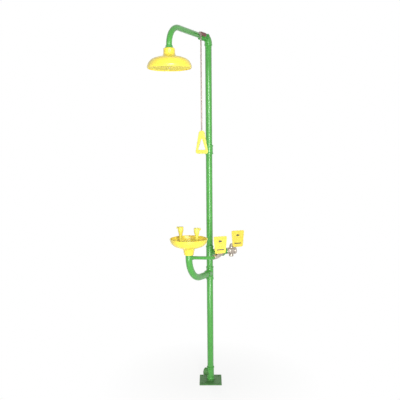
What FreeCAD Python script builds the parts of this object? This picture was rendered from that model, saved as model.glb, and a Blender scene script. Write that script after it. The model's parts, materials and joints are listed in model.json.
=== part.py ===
import FreeCAD, Part
import math
import os

# Combination emergency shower and eyewash on one floor-standing post. Millimetres, +Z up.
# The origin is the middle of the base plate's underside, on the post's axis. The shower arm and the
# eyewash bowl reach towards -Y, where the user stands. The water comes in behind and to the right,
# along the supply line, which makes the angle supply_turn with +X.
# The post carries supply water above the blanking plug and waste water below it.

V = FreeCAD.Vector
UP = V(0, 0, 1)

# ---- Clearances --------------------------------------------------------------------------------
thread_clear = 0.05      # radial play of a pipe end in its socket, and of other fixed fits
running_clear = 0.06     # radial play of stems, balls, pins and hinge knuckles
face_gap = 0.3           # gap between faces that move past each other
end_play = 0.2           # play along an axis, and of a square in its square hole

# ---- Pipe sizes: 1-1/4 inch, 1 inch and 1/2 inch ---------------------------------------------
post_r, post_wall = 21.2, 3.2
inch_r, inch_wall = 16.7, 3.1
half_r, half_wall = 10.65, 2.65
post_bore, inch_bore, half_bore = post_r - post_wall, inch_r - inch_wall, half_r - half_wall

# ---- Heights: the eyewash goes by supply_z, and the shower by arm_z -------------------------------
supply_z = 898.0         # supply tee, supply line and eyewash line
tee_spacing = 141.0      # from the drain tee up to the supply tee
coupling_z = 1581.5
arm_z = 2289.0           # top elbow, shower valve and arm
drain_tee_z = supply_z - tee_spacing

# ---- Base ----------------------------------------------------------------------------------------
plate_side, plate_thick = 150.0, 8.0
plate_corner = 4.0
plate_turn = 27.0        # degrees that the plate is turned on the post, as the plumbing was tightened
anchor_inset = 18.43     # middle of an anchor hole to the two nearest edges
anchor_hole_r = 6.5
weld_size = 5.0
base_gap = 1.0           # nipple that shows between the weld and the bottom tee
anchor_circle_r = (plate_side / 2 - anchor_inset) * math.sqrt(2)

# ---- Malleable fittings of the post ---------------------------------------------------------------
# The walls say how far a fitting's body and its end bands stand out over the pipe that it holds.
body_wall, band_wall, band_width = 2.6, 4.4, 9.0
post_socket = 17.0       # how deep a post pipe goes into its fitting
tee_stop = 5.8           # how far a tee's pipe ends stay out of the pipe that crosses them
elbow_step = 16.2        # how far the top elbow's front face stands out of its body
plug_half = 8.0          # half the blanking plug's length
coupling_wall, coupling_band_wall = 3.8, 6.3
coupling_length = 60.0
coupling_stop = 7.0      # half the space between the two pipe ends inside the coupling
tee_body_r, band_r = post_r + body_wall, post_r + band_wall
tee_half = post_r + tee_stop + post_socket        # middle to end of a post tee
elbow_front = tee_body_r + elbow_step             # post axis to the front face of the top elbow
bottom_tee_z = plate_thick + weld_size + base_gap + tee_half

# ---- One-inch supply line ------------------------------------------------------------------------
supply_turn = 45.0       # degrees from +X to the supply line, seen from above
inch_body_wall, inch_band_wall, inch_band_width = 2.9, 4.8, 8.0
inch_socket = 14.0
supply_reach = 18.2      # how far the supply tee's branch stands out of its body
reducer_stop = 8.35      # how far its one-inch pipe ends stay out of the half-inch branch
reducer_reach = 10.4     # how far its half-inch branch stands out of its body
joint_gap = 6.0          # pipe that shows between two fittings
valve_gap = 5.0          # pipe that shows between the top elbow and the shower valve
inch_body_r, inch_band_r = inch_r + inch_body_wall, inch_r + inch_band_wall
supply_branch = tee_body_r + supply_reach
reducer_half = half_r + reducer_stop + inch_socket   # middle to end of the reducing tee
reducer_branch = inch_body_r + reducer_reach

# ---- Half-inch eyewash line -----------------------------------------------------------------------
half_body_wall, half_band_wall, half_band_width = 2.55, 4.35, 6.0
half_socket = 12.0
elbow_reach = 22.0       # middle to end of the 45 degree elbow
eyewash_valve_y = -85.0
valve_tail = 29.0        # stainless tail piece after the eyewash valve
eyewash_lead = 15.0      # from the tail piece to the corner of the eyewash pipe's bend
eyewash_straight = 1.5   # straight part of that, before the bend
entry_wall, entry_boss_length = 3.35, 6.0
entry_drop = 4.0         # from the bowl's neck down to the boss that the eyewash pipe goes in by
half_body_r, half_band_r = half_r + half_body_wall, half_r + half_band_wall
entry_boss_r = half_r + entry_wall

# ---- Bowl and drain pipe -------------------------------------------------------------------------
bowl_y = -285.0
bowl_rise = 140.0        # from the supply line up to the bowl's rim
bowl_r, bowl_depth, bowl_wall = 118.5, 54.0, 3.5
bowl_lip = 4.0           # height of the upright edge at the rim
bowl_side = ((0.945, 24.0), (0.785, 43.0))   # outside: share of bowl_r, drop below the rim
bowl_foot = 21.6         # from the flat floor out to where the side begins
bowl_floor_r, bowl_floor_thick = 40.0, 5.0
neck_length = 49.0       # from the bowl's floor down to the end of its neck
neck_socket = 25.0       # how deep the drain pipe goes into the neck
neck_top_wall, neck_bottom_wall, neck_slope = 13.3, 7.8, 7.0
gasket_thick = 3.0
drain_bend_r = 155.0
drain_knee_y, drain_knee_r = -75.0, 200.0   # slight bend where the run starts to climb to the bowl
drain_rise = 14.0        # how far the run climbs
strainer_rim, strainer_thick = 9.0, 2.0
strainer_hole_r, strainer_holes = 2.6, 10
bowl_rim_z = supply_z + bowl_rise
bowl_floor_z = bowl_rim_z - bowl_depth
neck_bottom_z = bowl_floor_z - neck_length
neck_shoulder_z = neck_bottom_z + neck_socket
riser_entry_z = neck_bottom_z - entry_drop - entry_boss_r

# ---- Nozzles ------------------------------------------------------------------------------------
riser_r, riser_bore = 9.0, 6.5
riser_block_wall = 2.85
riser_rise = 19.0        # riser's end above the bowl's floor
hub_wall, hub_rise = 6.0, 4.0
manifold_r, manifold_bore = 8.5, 6.0
manifold_rise = 28.0     # the arms' axis above the bowl's floor
manifold_bend_r = 12.5
hub_crown = 16.0         # the hub's top above the arms' axis
nozzle_spread = 57.0     # bowl axis to nozzle axis
nozzle_rise = 22.0       # a nozzle's lower end above the arms' axis
nozzle_height = 69.0
nozzle_socket = 12.0     # how far a nozzle goes over the manifold's arm
nozzle_stem_wall, nozzle_stem, nozzle_lip = 2.5, 24.0, 15.0
nozzle_r, nozzle_wall, nozzle_swell = 17.5, 2.0, 1.75
spray_disc_thick, spray_recess = 3.0, 2.0
spray_rings = ((4.0, 6), (9.5, 12))   # circle radius, holes on it
spray_hole_r = 0.9
cap_overhang, cap_thick, cap_dome, cap_bevel = 0.5, 3.0, 5.0, 5.4
hinge_out, hinge_rise = 4.5, 1.4      # hinge axis out of the nozzle's wall, and above its top
hinge_pin_r, knuckle_wall, knuckle_half = 1.5, 1.7, 4.8
lug_thick, lug_r, lug_depth = 3.0, 3.0, 10.0
riser_block_r = half_r + riser_block_wall
riser_top_z = bowl_floor_z + riser_rise
manifold_z = bowl_floor_z + manifold_rise
nozzle_base_z = manifold_z + nozzle_rise
nozzle_top_z = nozzle_base_z + nozzle_height
cap_r = nozzle_r + cap_overhang
hinge_reach = nozzle_r + hinge_out

# ---- Shower arm and head ---------------------------------------------------------------------------
head_y = -485.0
arm_bend_r = 108.0
arm_straight = 5.0       # straight pipe between the bend and the ferrule
ferrule_height, ferrule_rim = 18.0, 5.0
ferrule_top_wall, ferrule_bottom_wall = 2.3, 7.3
head_r, head_height, head_wall = 127.0, 112.0, 3.0
head_neck_r, head_neck_height = 32.5, 39.0
head_band = 8.0          # height of the upright band above the head's rim
head_bulge = ((0.42, 64.5), (0.74, 54.0), (0.94, 31.0))   # outside: share of head_r, height above the rim
head_socket = 27.0       # how deep the arm goes into the head's neck
head_ceiling, head_ceiling_r = 60.0, 31.0   # flat ceiling inside: height above the rim, and radius
head_passage_r = 12.0
rose_rise, rose_thick = 4.0, 3.0
rose_rings = ((24.0, 8), (48.0, 16), (72.0, 24), (96.0, 32))   # circle radius, holes on it
rose_hole_r = 1.8
deflector_r, deflector_drop, deflector_thick = 30.0, 22.0, 3.0
deflector_hub_r, deflector_leg_r, deflector_leg_ring = 8.0, 3.0, 22.0
screw_r, screw_head_r, screw_head, screw_length = 2.5, 6.0, 3.0, 15.0
arm_end_z = arm_z - arm_bend_r - arm_straight - ferrule_height - head_socket
ferrule_bottom_z = arm_end_z + head_socket
head_rim_z = ferrule_bottom_z - head_height
head_ceiling_z = head_rim_z + head_ceiling

# ---- Pull rod and handle ---------------------------------------------------------------------------
lever_length = 112.0     # stem axis to the pull rod's hole
lever_wide, lever_hub_r, lever_end_wall = 20.0, 13.0, 5.0
sleeve_start, sleeve_length, sleeve_skin = 34.0, 64.0, 2.0
rod_r, rod_bend_r = 4.0, 5.0
rod_side_gap = 1.5       # between the lever and the upright part of the rod
rod_tail, rod_tail_wall, rod_tail_gap = 2.0, 2.0, 1.0
handle_drop, handle_height = 588.0, 142.0
handle_half, handle_hub_half, handle_corner = 48.0, 17.0, 14.0
handle_thick, handle_side = 14.0, 12.0
grip_height = 24.0
opening_share = 0.55     # height of the hand opening, as a share of what its slanting sides allow
peak_half, opening_corner = 3.5, 3.0
rod_in_handle = 22.0
handle_top_z = arm_z - handle_drop
handle_bottom_z = handle_top_z - handle_height

# ---- Push plates -----------------------------------------------------------------------------------
push_top, push_bottom, push_height = 92.0, 72.0, 112.0
push_thick, push_corner = 3.0, 12.0
leg_offset, leg_thick, leg_half = 15.0, 3.0, 11.0
leg_over = 16.0              # the leg's top above the middle of its plate
eyewash_plate_reach = 14.0   # stem axis to the middle of the plate, along the plate
supply_plate_reach = 40.0
plate_lift = 2.0             # plate's lower edge above the valve that it turns over


class Valve:
    """The sizes of one two-piece ball valve: pipe axis along X, stem along +Z, centre at 0."""

    def __init__(self, pipe_r, end_wall, socket, stop_wall, port_step, seat_width, shell, bonnet_r,
                 bonnet_rise, stem_r, square, gland_high, nut_flats, nut_high):
        self.pipe_r = pipe_r
        self.end_r = pipe_r + end_wall
        self.socket = socket
        self.port = pipe_r - port_step
        self.ball = self.port + seat_width
        self.barrel = self.ball + shell
        self.bonnet_r = bonnet_r
        self.bonnet_top = self.barrel + bonnet_rise
        self.stem_r = stem_r
        self.square = square
        self.gland_high = gland_high
        self.nut_flats = nut_flats
        self.nut_high = nut_high
        self.cavity_r = self.ball + ball_room
        self.seat_x = seat_share * self.ball
        self.split_x = self.seat_x + seat_lip               # where the end piece meets the body
        self.half = self.seat_x + stop_wall + socket        # centre to either end
        self.lever_z = self.bonnet_top + gland_high + lever_gap
        self.thread_r = thread_share * square


ball_room = 0.5          # between the ball and the wall of its chamber
seat_share = 0.94        # outer face of a seat ring, as a share of the ball's radius
seat_width_share = 0.25  # width of a seat ring along the pipe, as a share of the same
seat_lip = 2.0           # from the seat ring's outer face to the joint of body and end piece
lever_gap, lever_thick = 0.5, 4.0
thread_share = 0.45      # radius of the stem's thread, as a share of the square's side
tang_share = 0.4         # half the tang's thickness, as a share of the stem's radius
tang_height = 4.3        # how far the tang reaches down from the shaft
thread_past = 1.5        # thread that shows past the lever's nut
gland_flats_share = 1.75 # gland nut across its flats, by the bonnet's radius
tail_step = 1.0          # a tail piece's wall is this much thinner than the hexagon's half width
inch_valve = Valve(pipe_r=inch_r, end_wall=4.8, socket=inch_socket, stop_wall=1.61, port_step=4.2,
                   seat_width=6.0, shell=5.5, bonnet_r=13.0, bonnet_rise=6.0, stem_r=6.0, square=8.4,
                   gland_high=7.0, nut_flats=14.0, nut_high=6.0)
half_valve = Valve(pipe_r=half_r, end_wall=3.85, socket=half_socket, stop_wall=3.19, port_step=3.65,
                   seat_width=4.5, shell=4.5, bonnet_r=9.5, bonnet_rise=4.0, stem_r=4.5, square=6.2,
                   gland_high=6.0, nut_flats=11.0, nut_high=5.0)
drain_port_r, drain_port_bore, drain_port_reach = 15.0, 9.0, 38.0
drain_drill_r, drain_drill_offset = 3.0, 8.0

# ---- Places that follow from the sizes -----------------------------------------------------------
supply_dir = V(math.cos(math.radians(supply_turn)), math.sin(math.radians(supply_turn)), 0)
side_dir = V(supply_dir.y, -supply_dir.x, 0)     # from the supply line towards the user
post_axis = V(0, 0, supply_z)
reducer_s = supply_branch + joint_gap + reducer_half
supply_valve_s = reducer_s + reducer_half + joint_gap + inch_valve.half
reducer_at = post_axis + supply_dir * reducer_s
supply_valve_at = post_axis + supply_dir * supply_valve_s
eyewash_corner = reducer_at + side_dir * (reducer_branch + joint_gap + elbow_reach)
eyewash_valve_at = V(eyewash_corner.x, eyewash_valve_y, supply_z)
shower_valve_y = -(elbow_front + valve_gap + inch_valve.half)
shower_valve_at = V(0, shower_valve_y, arm_z)
bowl_axis = V(0, bowl_y, 0)
head_axis = V(0, head_y, 0)
tail_end_y = eyewash_valve_y - half_valve.half - valve_tail
rod_x = inch_valve.lever_z + lever_thick + rod_side_gap + rod_r
rod_y = shower_valve_y - lever_length


# ---- Shape helpers --------------------------------------------------------------------------------
def rod(radius, start, end):
    """A solid cylinder from one point to another."""
    return Part.makeCylinder(radius, (end - start).Length, start, end - start)


def ring(outer, inner, start, end):
    """A straight tube from one point to another."""
    return rod(outer, start, end).cut(rod(inner, start, end))


def around(radius, count, height=0.0):
    """Points evenly spaced on a circle about the Z axis."""
    angles = [2 * math.pi * i / count for i in range(count)]
    return [V(radius * math.cos(angle), radius * math.sin(angle), height) for angle in angles]


def hexagon(flats, start, end):
    """A hexagonal bar along Z, by the size across its flats."""
    corners = around(flats / math.sqrt(3), 6, start)
    return Part.Face(Part.makePolygon(corners + corners[:1])).extrude(UP * (end - start))


def turned(points, curved=()):
    """A solid of revolution about Z. The points are (radius, z); the runs of points whose first
    number is in curved are joined by one smooth curve up to their second number."""
    vectors = [V(r, 0, z) for r, z in points]
    edges = []
    i = 0
    spans = dict(curved)
    while i < len(vectors):
        if i in spans:
            curve = Part.BSplineCurve()
            curve.interpolate(vectors[i:spans[i] + 1])
            edges.append(curve.toShape())
            i = spans[i]
        else:
            edges.append(Part.makeLine(vectors[i], vectors[(i + 1) % len(vectors)]))
            i += 1
    return Part.Face(Part.Wire(edges)).revolve(V(0, 0, 0), UP, 360)


def rounded_outline(points, radius):
    """A closed outline through the points, with every corner rounded to the radius."""
    starts = []
    edges = []
    count = len(points)
    for i in range(count):
        before, here, after = points[i - 1], points[i], points[(i + 1) % count]
        to_before = (before - here).normalize()
        to_after = (after - here).normalize()
        half_angle = to_before.getAngle(to_after) / 2
        reach = radius / math.tan(half_angle)
        middle = (to_before + to_after).normalize() * (radius / math.sin(half_angle) - radius)
        first, last = here + to_before * reach, here + to_after * reach
        starts.append((first, last))
        edges.append(Part.Arc(first, here + middle, last).toShape())
    lines = [Part.makeLine(starts[i][1], starts[(i + 1) % count][0]) for i in range(count)]
    return Part.Wire([edge for pair in zip(edges, lines) for edge in pair])


def route(points, radii):
    """A path of straight runs joined by tangent arcs, one radius for each inner point."""
    edges = []
    last = points[0]
    for i, radius in enumerate(radii, start=1):
        here = points[i]
        to_before = (points[i - 1] - here).normalize()
        to_after = (points[i + 1] - here).normalize()
        half_angle = to_before.getAngle(to_after) / 2
        reach = radius / math.tan(half_angle)
        middle = (to_before + to_after).normalize() * (radius / math.sin(half_angle) - radius)
        first = here + to_before * reach
        edges.append(Part.makeLine(last, first))
        last = here + to_after * reach
        edges.append(Part.Arc(first, here + middle, last).toShape())
    edges.append(Part.makeLine(last, points[-1]))
    return Part.Wire(edges)


def swept(path, radius):
    """A round bar along a path."""
    first = path.Edges[0]
    start = first.valueAt(first.FirstParameter)
    tangent = first.tangentAt(first.FirstParameter)
    circle = Part.Wire(Part.makeCircle(radius, start, tangent))
    return path.makePipeShell([circle], True, False)


def placed(shape, at, x_axis, z_axis):
    """A copy of a shape whose own X and Z axes point along the two given directions."""
    copy = shape.copy()
    turn = FreeCAD.Rotation(x_axis, z_axis.cross(x_axis), z_axis, "ZXY")
    copy.Placement = FreeCAD.Placement(at, turn) * shape.Placement
    return copy


def fused(shapes):
    return shapes[0].multiFuse(shapes[1:]).removeSplitter()


def socketed(body, tips):
    """Cut sockets into a body: each tip is (outer end, direction inwards, socket radius, depth)."""
    for end, inwards, radius, depth in tips:
        body = body.cut(rod(radius, end - inwards, end + inwards * depth))
    return body


# ---- Fittings -------------------------------------------------------------------------------------
def banded(radius, band, width, start, end, both=False):
    """A fitting's limb from start to end, with a raised band at its end, or at both ends."""
    along = (end - start).normalize()
    limbs = [rod(radius, start, end), rod(band, end - along * width, end)]
    if both:
        limbs.append(rod(band, start, start + along * width))
    return fused(limbs)


def post_tee(height, branch_to, branch_length, branch_r, branch_band, branch_bore, branch_socket, depth):
    """A tee on the post, with one branch that has its own size."""
    centre = V(0, 0, height)
    low, high = centre - UP * tee_half, centre + UP * tee_half
    tip = centre + branch_to * branch_length
    outside = fused([banded(tee_body_r, band_r, band_width, low, high, both=True),
                     banded(branch_r, branch_band, inch_band_width, centre, tip)])
    inside = rod(post_bore, low, high).fuse(rod(branch_bore, centre, tip))
    return socketed(outside.cut(inside), [
        (low, UP, post_r + thread_clear, post_socket),
        (high, -UP, post_r + thread_clear, post_socket),
        (tip, -branch_to, branch_socket + thread_clear, depth)])


def equal_tee(height, branch_to):
    """A tee on the post, with a branch as large as the post."""
    return post_tee(height, branch_to, tee_half, tee_body_r, band_r, post_bore, post_r, post_socket)


def supply_tee():
    return post_tee(supply_z, supply_dir, supply_branch, inch_body_r, inch_band_r, inch_bore,
                    inch_r, inch_socket)


def reducing_tee():
    """Tee of the supply line, with the half-inch branch that feeds the eyewash."""
    near = reducer_at - supply_dir * reducer_half
    far = reducer_at + supply_dir * reducer_half
    tip = reducer_at + side_dir * reducer_branch
    outside = fused([banded(inch_body_r, inch_band_r, inch_band_width, near, far, both=True),
                     banded(half_body_r, half_band_r, half_band_width, reducer_at, tip)])
    inside = rod(inch_bore, near, far).fuse(rod(half_bore, reducer_at, tip))
    return socketed(outside.cut(inside), [
        (near, supply_dir, inch_r + thread_clear, inch_socket),
        (far, -supply_dir, inch_r + thread_clear, inch_socket),
        (tip, -side_dir, half_r + thread_clear, half_socket)])


def top_elbow():
    """Elbow on top of the post, whose front end is a one-inch spigot for the shower valve."""
    corner = V(0, 0, arm_z)
    low = corner - UP * tee_half
    front = corner + V(0, -elbow_front, 0)
    spigot_end = V(0, shower_valve_y + inch_valve.half - inch_socket, arm_z)
    path = route([low, corner, front], [elbow_front - band_width])
    outside = fused([swept(path, tee_body_r),
                     rod(band_r, low, low + UP * band_width),
                     rod(inch_r, front, spigot_end)])
    inside = fused([swept(path, inch_bore), rod(inch_bore, front, spigot_end)])
    return socketed(outside.cut(inside), [(low, UP, post_r + thread_clear, post_socket)])


def eyewash_elbow():
    """45 degree elbow: a spigot in the reducing tee, and a socket that faces the bowl."""
    forward = V(0, -1, 0)
    spigot_end = reducer_at + side_dir * (reducer_branch - half_socket)
    back = eyewash_corner - side_dir * elbow_reach
    front = eyewash_corner + forward * elbow_reach
    bend_r = (elbow_reach - half_band_width / 2) / math.tan(math.radians(22.5))
    path = route([back, eyewash_corner, front], [bend_r])
    outside = fused([swept(path, half_body_r),
                     rod(half_band_r, back, back + side_dir * half_band_width),
                     rod(half_band_r, front - forward * half_band_width, front),
                     rod(half_r, spigot_end, back)])
    inside = fused([swept(path, half_bore), rod(half_bore, spigot_end, back)])
    return socketed(outside.cut(inside), [(front, -forward, half_r + thread_clear, half_socket)])


# ---- Base and post ---------------------------------------------------------------------------------
def base_plate():
    half = plate_side / 2
    corners = [V(-half, -half, 0), V(half, -half, 0), V(half, half, 0), V(-half, half, 0)]
    plate = Part.Face(rounded_outline(corners, plate_corner)).extrude(UP * plate_thick)
    spots = around(anchor_circle_r, 4)
    holes = Part.makeCompound([rod(anchor_hole_r, at, at + UP * plate_thick) for at in spots])
    holes.rotate(V(0, 0, 0), UP, 45)
    plate = plate.cut(holes)
    plate.rotate(V(0, 0, 0), UP, plate_turn)
    return plate


def base_nipple():
    """Short pipe that is welded to the plate and screwed into the bottom tee."""
    top = below(bottom_tee_z)
    return turned([(post_bore, plate_thick), (post_r + weld_size, plate_thick),
                   (post_r, plate_thick + weld_size), (post_r, top), (post_bore, top)])


def post_pipe(low_z, high_z):
    """A length of post between two heights."""
    return ring(post_r, post_bore, UP * low_z, UP * high_z)


def above(fitting_z):
    """Height of the lower end of a pipe that is screwed into the top of a post tee."""
    return fitting_z + tee_half - post_socket


def below(fitting_z):
    """Height of the upper end of a pipe that is screwed into the underside of a post tee or elbow."""
    return fitting_z - tee_half + post_socket


def blanking_plug():
    middle = (drain_tee_z + supply_z) / 2
    return rod(post_bore - thread_clear, UP * (middle - plug_half), UP * (middle + plug_half))


def post_coupling():
    low, high = UP * (coupling_z - coupling_length / 2), UP * (coupling_z + coupling_length / 2)
    outside = banded(post_r + coupling_wall, post_r + coupling_band_wall, band_width, low, high, both=True)
    return outside.cut(rod(post_r + thread_clear, low, high))


def drain_path():
    start = V(0, -tee_half + post_socket, drain_tee_z)
    knee = V(0, drain_knee_y, drain_tee_z)
    corner = V(0, bowl_y, drain_tee_z + drain_rise)
    end = V(0, bowl_y, neck_shoulder_z - gasket_thick)
    return route([start, knee, corner, end], [drain_knee_r, drain_bend_r])


def drain_pipe():
    """Bent pipe from the bowl's neck to the drain tee, with a boss for the eyewash pipe."""
    entry = V(0, bowl_y, riser_entry_z)
    outwards = (eyewash_points()[1] - entry).normalize()
    boss_end = entry + outwards * (post_r + entry_boss_length)
    pipe = fused([swept(drain_path(), post_r), rod(entry_boss_r, entry, boss_end)])
    entry_hole = rod(half_r + thread_clear, entry, boss_end + outwards)
    return pipe.cut(swept(drain_path(), post_bore)).cut(entry_hole)


# ---- Supply line and eyewash line ------------------------------------------------------------------
def supply_nipples():
    """Two alike one-inch nipples, on each side of the reducing tee."""
    pipes = []
    for start_s in (supply_branch, reducer_s + reducer_half):
        start = post_axis + supply_dir * (start_s - inch_socket)
        end = post_axis + supply_dir * (start_s + joint_gap + inch_socket)
        pipes.append(ring(inch_r, inch_bore, start, end))
    return Part.makeCompound(pipes)


def eyewash_nipple():
    start = eyewash_corner + V(0, half_socket - elbow_reach, 0)
    end = eyewash_valve_at + V(0, half_valve.half - half_socket, 0)
    return ring(half_r, half_bore, start, end)


def eyewash_points():
    """Route of the eyewash pipe, from the valve's tail to the middle of the drain pipe."""
    return [V(eyewash_corner.x, tail_end_y + half_socket, supply_z),
            V(eyewash_corner.x, tail_end_y - eyewash_lead, supply_z),
            V(0, bowl_y, riser_entry_z)]


def eyewash_pipe():
    start, corner, end = eyewash_points()
    inwards = (end - corner).normalize()
    half_turn = (corner - start).getAngle(inwards) / 2
    bend_r = (eyewash_lead - eyewash_straight) / math.tan(half_turn)
    path = route([start, corner, end - inwards * riser_bore], [bend_r])
    return swept(path, half_r).cut(swept(path, half_bore))


# ---- Valves ----------------------------------------------------------------------------------------
def valve_body(valve, drain=False):
    """Body with the ball's chamber and a socket at -X. It is open at +X for the end piece."""
    x_axis = V(1, 0, 0)
    end, split = V(-valve.half, 0, 0), V(valve.split_x, 0, 0)
    shoulder = V(-valve.split_x, 0, 0)
    parts = [rod(valve.barrel, shoulder, split), rod(valve.end_r, end, shoulder),
             rod(valve.bonnet_r, V(0, 0, 0), UP * valve.bonnet_top)]
    holes = [rod(valve.port, end, split), rod(valve.cavity_r, V(-valve.seat_x, 0, 0), split),
             rod(valve.pipe_r + thread_clear, end, end + x_axis * valve.socket),
             rod(valve.stem_r + running_clear, V(0, 0, 0), UP * valve.bonnet_top)]
    if drain:
        parts.append(rod(drain_port_r, V(0, 0, 0), UP * -drain_port_reach))
        chamber = V(-drain_drill_offset, 0, -valve.barrel)
        holes.append(rod(drain_port_bore, UP * -drain_port_reach, UP * -valve.barrel))
        holes.append(rod(drain_drill_r, chamber, V(-drain_drill_offset, 0, 0)))
    return fused(parts).cut(fused(holes))


def valve_end(valve, reach=0.0):
    """Hexagonal end piece at +X, screwed into the body; reach adds a tail before its socket."""
    tip = valve.half + reach
    head = placed(hexagon(2 * valve.end_r, valve.split_x, valve.half), V(0, 0, 0), V(0, 0, -1), V(1, 0, 0))
    parts = [rod(valve.cavity_r - thread_clear, V(valve.seat_x, 0, 0), V(valve.split_x, 0, 0)), head]
    if reach:
        parts.append(rod(valve.end_r - tail_step, V(valve.half, 0, 0), V(tip, 0, 0)))
    holes = [rod(valve.port, V(valve.seat_x, 0, 0), V(tip, 0, 0)),
             rod(valve.pipe_r + thread_clear, V(tip - valve.socket, 0, 0), V(tip, 0, 0))]
    return fused(parts).cut(fused(holes))


def valve_seats(valve):
    """The two soft rings that the ball turns between."""
    chamber = Part.makeSphere(valve.ball + running_clear)
    inner_x = valve.seat_x - seat_width_share * valve.ball
    rings = []
    for side in (-1, 1):
        inner, outer = V(side * inner_x, 0, 0), V(side * valve.seat_x, 0, 0)
        rings.append(ring(valve.cavity_r - thread_clear, valve.port, inner, outer).cut(chamber))
    return rings


def valve_ball(valve, drain=False):
    """Ball with its port across the pipe, as it stands when the valve is shut."""
    reach = V(0, 2 * valve.ball, 0)
    slot_wide = 2 * tang_share * valve.stem_r + end_play
    slot_bottom = valve.ball + face_gap - tang_height - end_play
    slot = Part.makeBox(slot_wide, 4 * valve.ball, valve.ball,
                        V(-slot_wide / 2, -2 * valve.ball, slot_bottom))
    ball = Part.makeSphere(valve.ball).cut(rod(valve.port, -reach, reach)).cut(slot)
    if drain:
        turn = V(-drain_drill_offset, 0, 0)
        ball = ball.cut(rod(drain_drill_r, V(-2 * valve.ball, 0, 0), turn))
        ball = ball.cut(rod(drain_drill_r, turn, turn - UP * valve.ball))
    return ball


def valve_stem(valve):
    """Stem: tang in the ball's slot, round shaft, square for the lever and thread for its nut."""
    tang_half = tang_share * valve.stem_r
    shaft_bottom = valve.ball + face_gap
    shaft_top = valve.lever_z - end_play
    square_top = valve.lever_z + lever_thick - end_play
    thread_top = valve.lever_z + lever_thick + valve.nut_high + thread_past
    side = valve.square
    tang = Part.makeBox(2 * tang_half, 4 * tang_half, tang_height,
                        V(-tang_half, -2 * tang_half, shaft_bottom - tang_height))
    square = Part.makeBox(side, side, square_top - shaft_top, V(-side / 2, -side / 2, shaft_top))
    return fused([tang, rod(valve.stem_r, UP * shaft_bottom, UP * shaft_top), square,
                  rod(valve.thread_r, UP * square_top, UP * thread_top)])


def gland_nut(valve):
    bottom, top = valve.bonnet_top, valve.bonnet_top + valve.gland_high
    hole = rod(valve.stem_r + running_clear, UP * bottom, UP * top)
    return hexagon(gland_flats_share * valve.bonnet_r, bottom, top).cut(hole)


def lever_nut(valve):
    bottom = valve.lever_z + lever_thick
    top = bottom + valve.nut_high
    hole = rod(valve.thread_r + thread_clear, UP * bottom, UP * top)
    return hexagon(valve.nut_flats, bottom, top).cut(hole)


def square_hole(valve):
    """The hole through a lever that fits the stem's square."""
    side = valve.square + end_play
    return Part.makeBox(side, side, lever_thick, V(-side / 2, -side / 2, valve.lever_z))


def in_shower_valve(shape):
    return placed(shape, shower_valve_at, V(0, -1, 0), V(1, 0, 0))


def in_supply_valve(shape):
    return placed(shape, supply_valve_at, supply_dir, UP)


def in_eyewash_valve(shape):
    return placed(shape, eyewash_valve_at, V(0, -1, 0), UP)


def seat_rings():
    """Seat rings of all three valves."""
    rings = [in_shower_valve(shape) for shape in valve_seats(inch_valve)]
    rings += [in_supply_valve(shape) for shape in valve_seats(inch_valve)]
    rings += [in_eyewash_valve(shape) for shape in valve_seats(half_valve)]
    return Part.makeCompound(rings)


def gland_nuts():
    """Gland nuts of all three valves."""
    return Part.makeCompound([in_shower_valve(gland_nut(inch_valve)), in_supply_valve(gland_nut(inch_valve)),
                              in_eyewash_valve(gland_nut(half_valve))])


# ---- Shower lever, pull rod and handle ----------------------------------------------------------------
def lever_strip(grow=0.0):
    """Outline of the shower lever's strip, along X from the stem, grown by the given amount."""
    half, end = lever_wide / 2 + grow, rod_r + lever_end_wall + grow
    low = inch_valve.lever_z - grow
    thick = UP * (lever_thick + 2 * grow)
    eye = V(lever_length, 0, low)
    corners = [V(0, -half, low), V(lever_length, -end, low), V(lever_length, end, low), V(0, half, low)]
    web = Part.Face(Part.makePolygon(corners + corners[:1])).extrude(thick)
    return fused([rod(lever_hub_r + grow, UP * low, UP * low + thick), web, rod(end, eye, eye + thick)])


def shower_lever():
    eye = rod(rod_r + running_clear, V(lever_length, 0, 0), V(lever_length, 0, 2 * inch_valve.lever_z))
    return in_shower_valve(lever_strip().cut(square_hole(inch_valve)).cut(eye))


def lever_sleeve():
    """Soft sleeve pushed over the middle of the lever."""
    block = Part.makeBox(sleeve_length, 4 * lever_wide, 4 * lever_wide,
                         V(sleeve_start, -2 * lever_wide, inch_valve.lever_z - 2 * lever_wide))
    return in_shower_valve(lever_strip(sleeve_skin).cut(lever_strip(thread_clear)).common(block))


def pull_rod():
    """Rod that hooks through the lever's eye and hangs to the handle; its inner end is upset."""
    eye_side = V(inch_valve.lever_z - rod_tail_gap, rod_y, arm_z)
    foot = V(rod_x, rod_y, handle_top_z - rod_in_handle)
    path = route([eye_side, V(rod_x, rod_y, arm_z), foot], [rod_bend_r])
    tail = rod(rod_r + rod_tail_wall, eye_side - V(rod_tail, 0, 0), eye_side)
    return fused([swept(path, rod_r), tail])


def pull_handle():
    """Triangular handle with a solid hub at the top and a thick grip at the bottom."""
    outer = [V(-handle_hub_half, 0, handle_top_z), V(-handle_half, 0, handle_bottom_z),
             V(handle_half, 0, handle_bottom_z), V(handle_hub_half, 0, handle_top_z)]
    slope = (handle_half - handle_hub_half) / (handle_top_z - handle_bottom_z)
    grip_top = handle_bottom_z + grip_height
    inner_half = handle_half - slope * grip_height - handle_side
    peak_z = grip_top + (inner_half - peak_half) / slope * opening_share
    inner = [V(-peak_half, 0, peak_z), V(-inner_half, 0, grip_top),
             V(inner_half, 0, grip_top), V(peak_half, 0, peak_z)]
    thick = V(0, handle_thick, 0)
    body = Part.Face(rounded_outline(outer, handle_corner)).extrude(thick)
    body = body.cut(Part.Face(rounded_outline(inner, opening_corner)).extrude(thick))
    body.translate(V(rod_x, rod_y - handle_thick / 2, 0))
    bottom = V(rod_x, rod_y, handle_top_z - rod_in_handle)
    return body.cut(rod(rod_r + thread_clear, bottom, bottom + UP * 2 * rod_in_handle))


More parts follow.
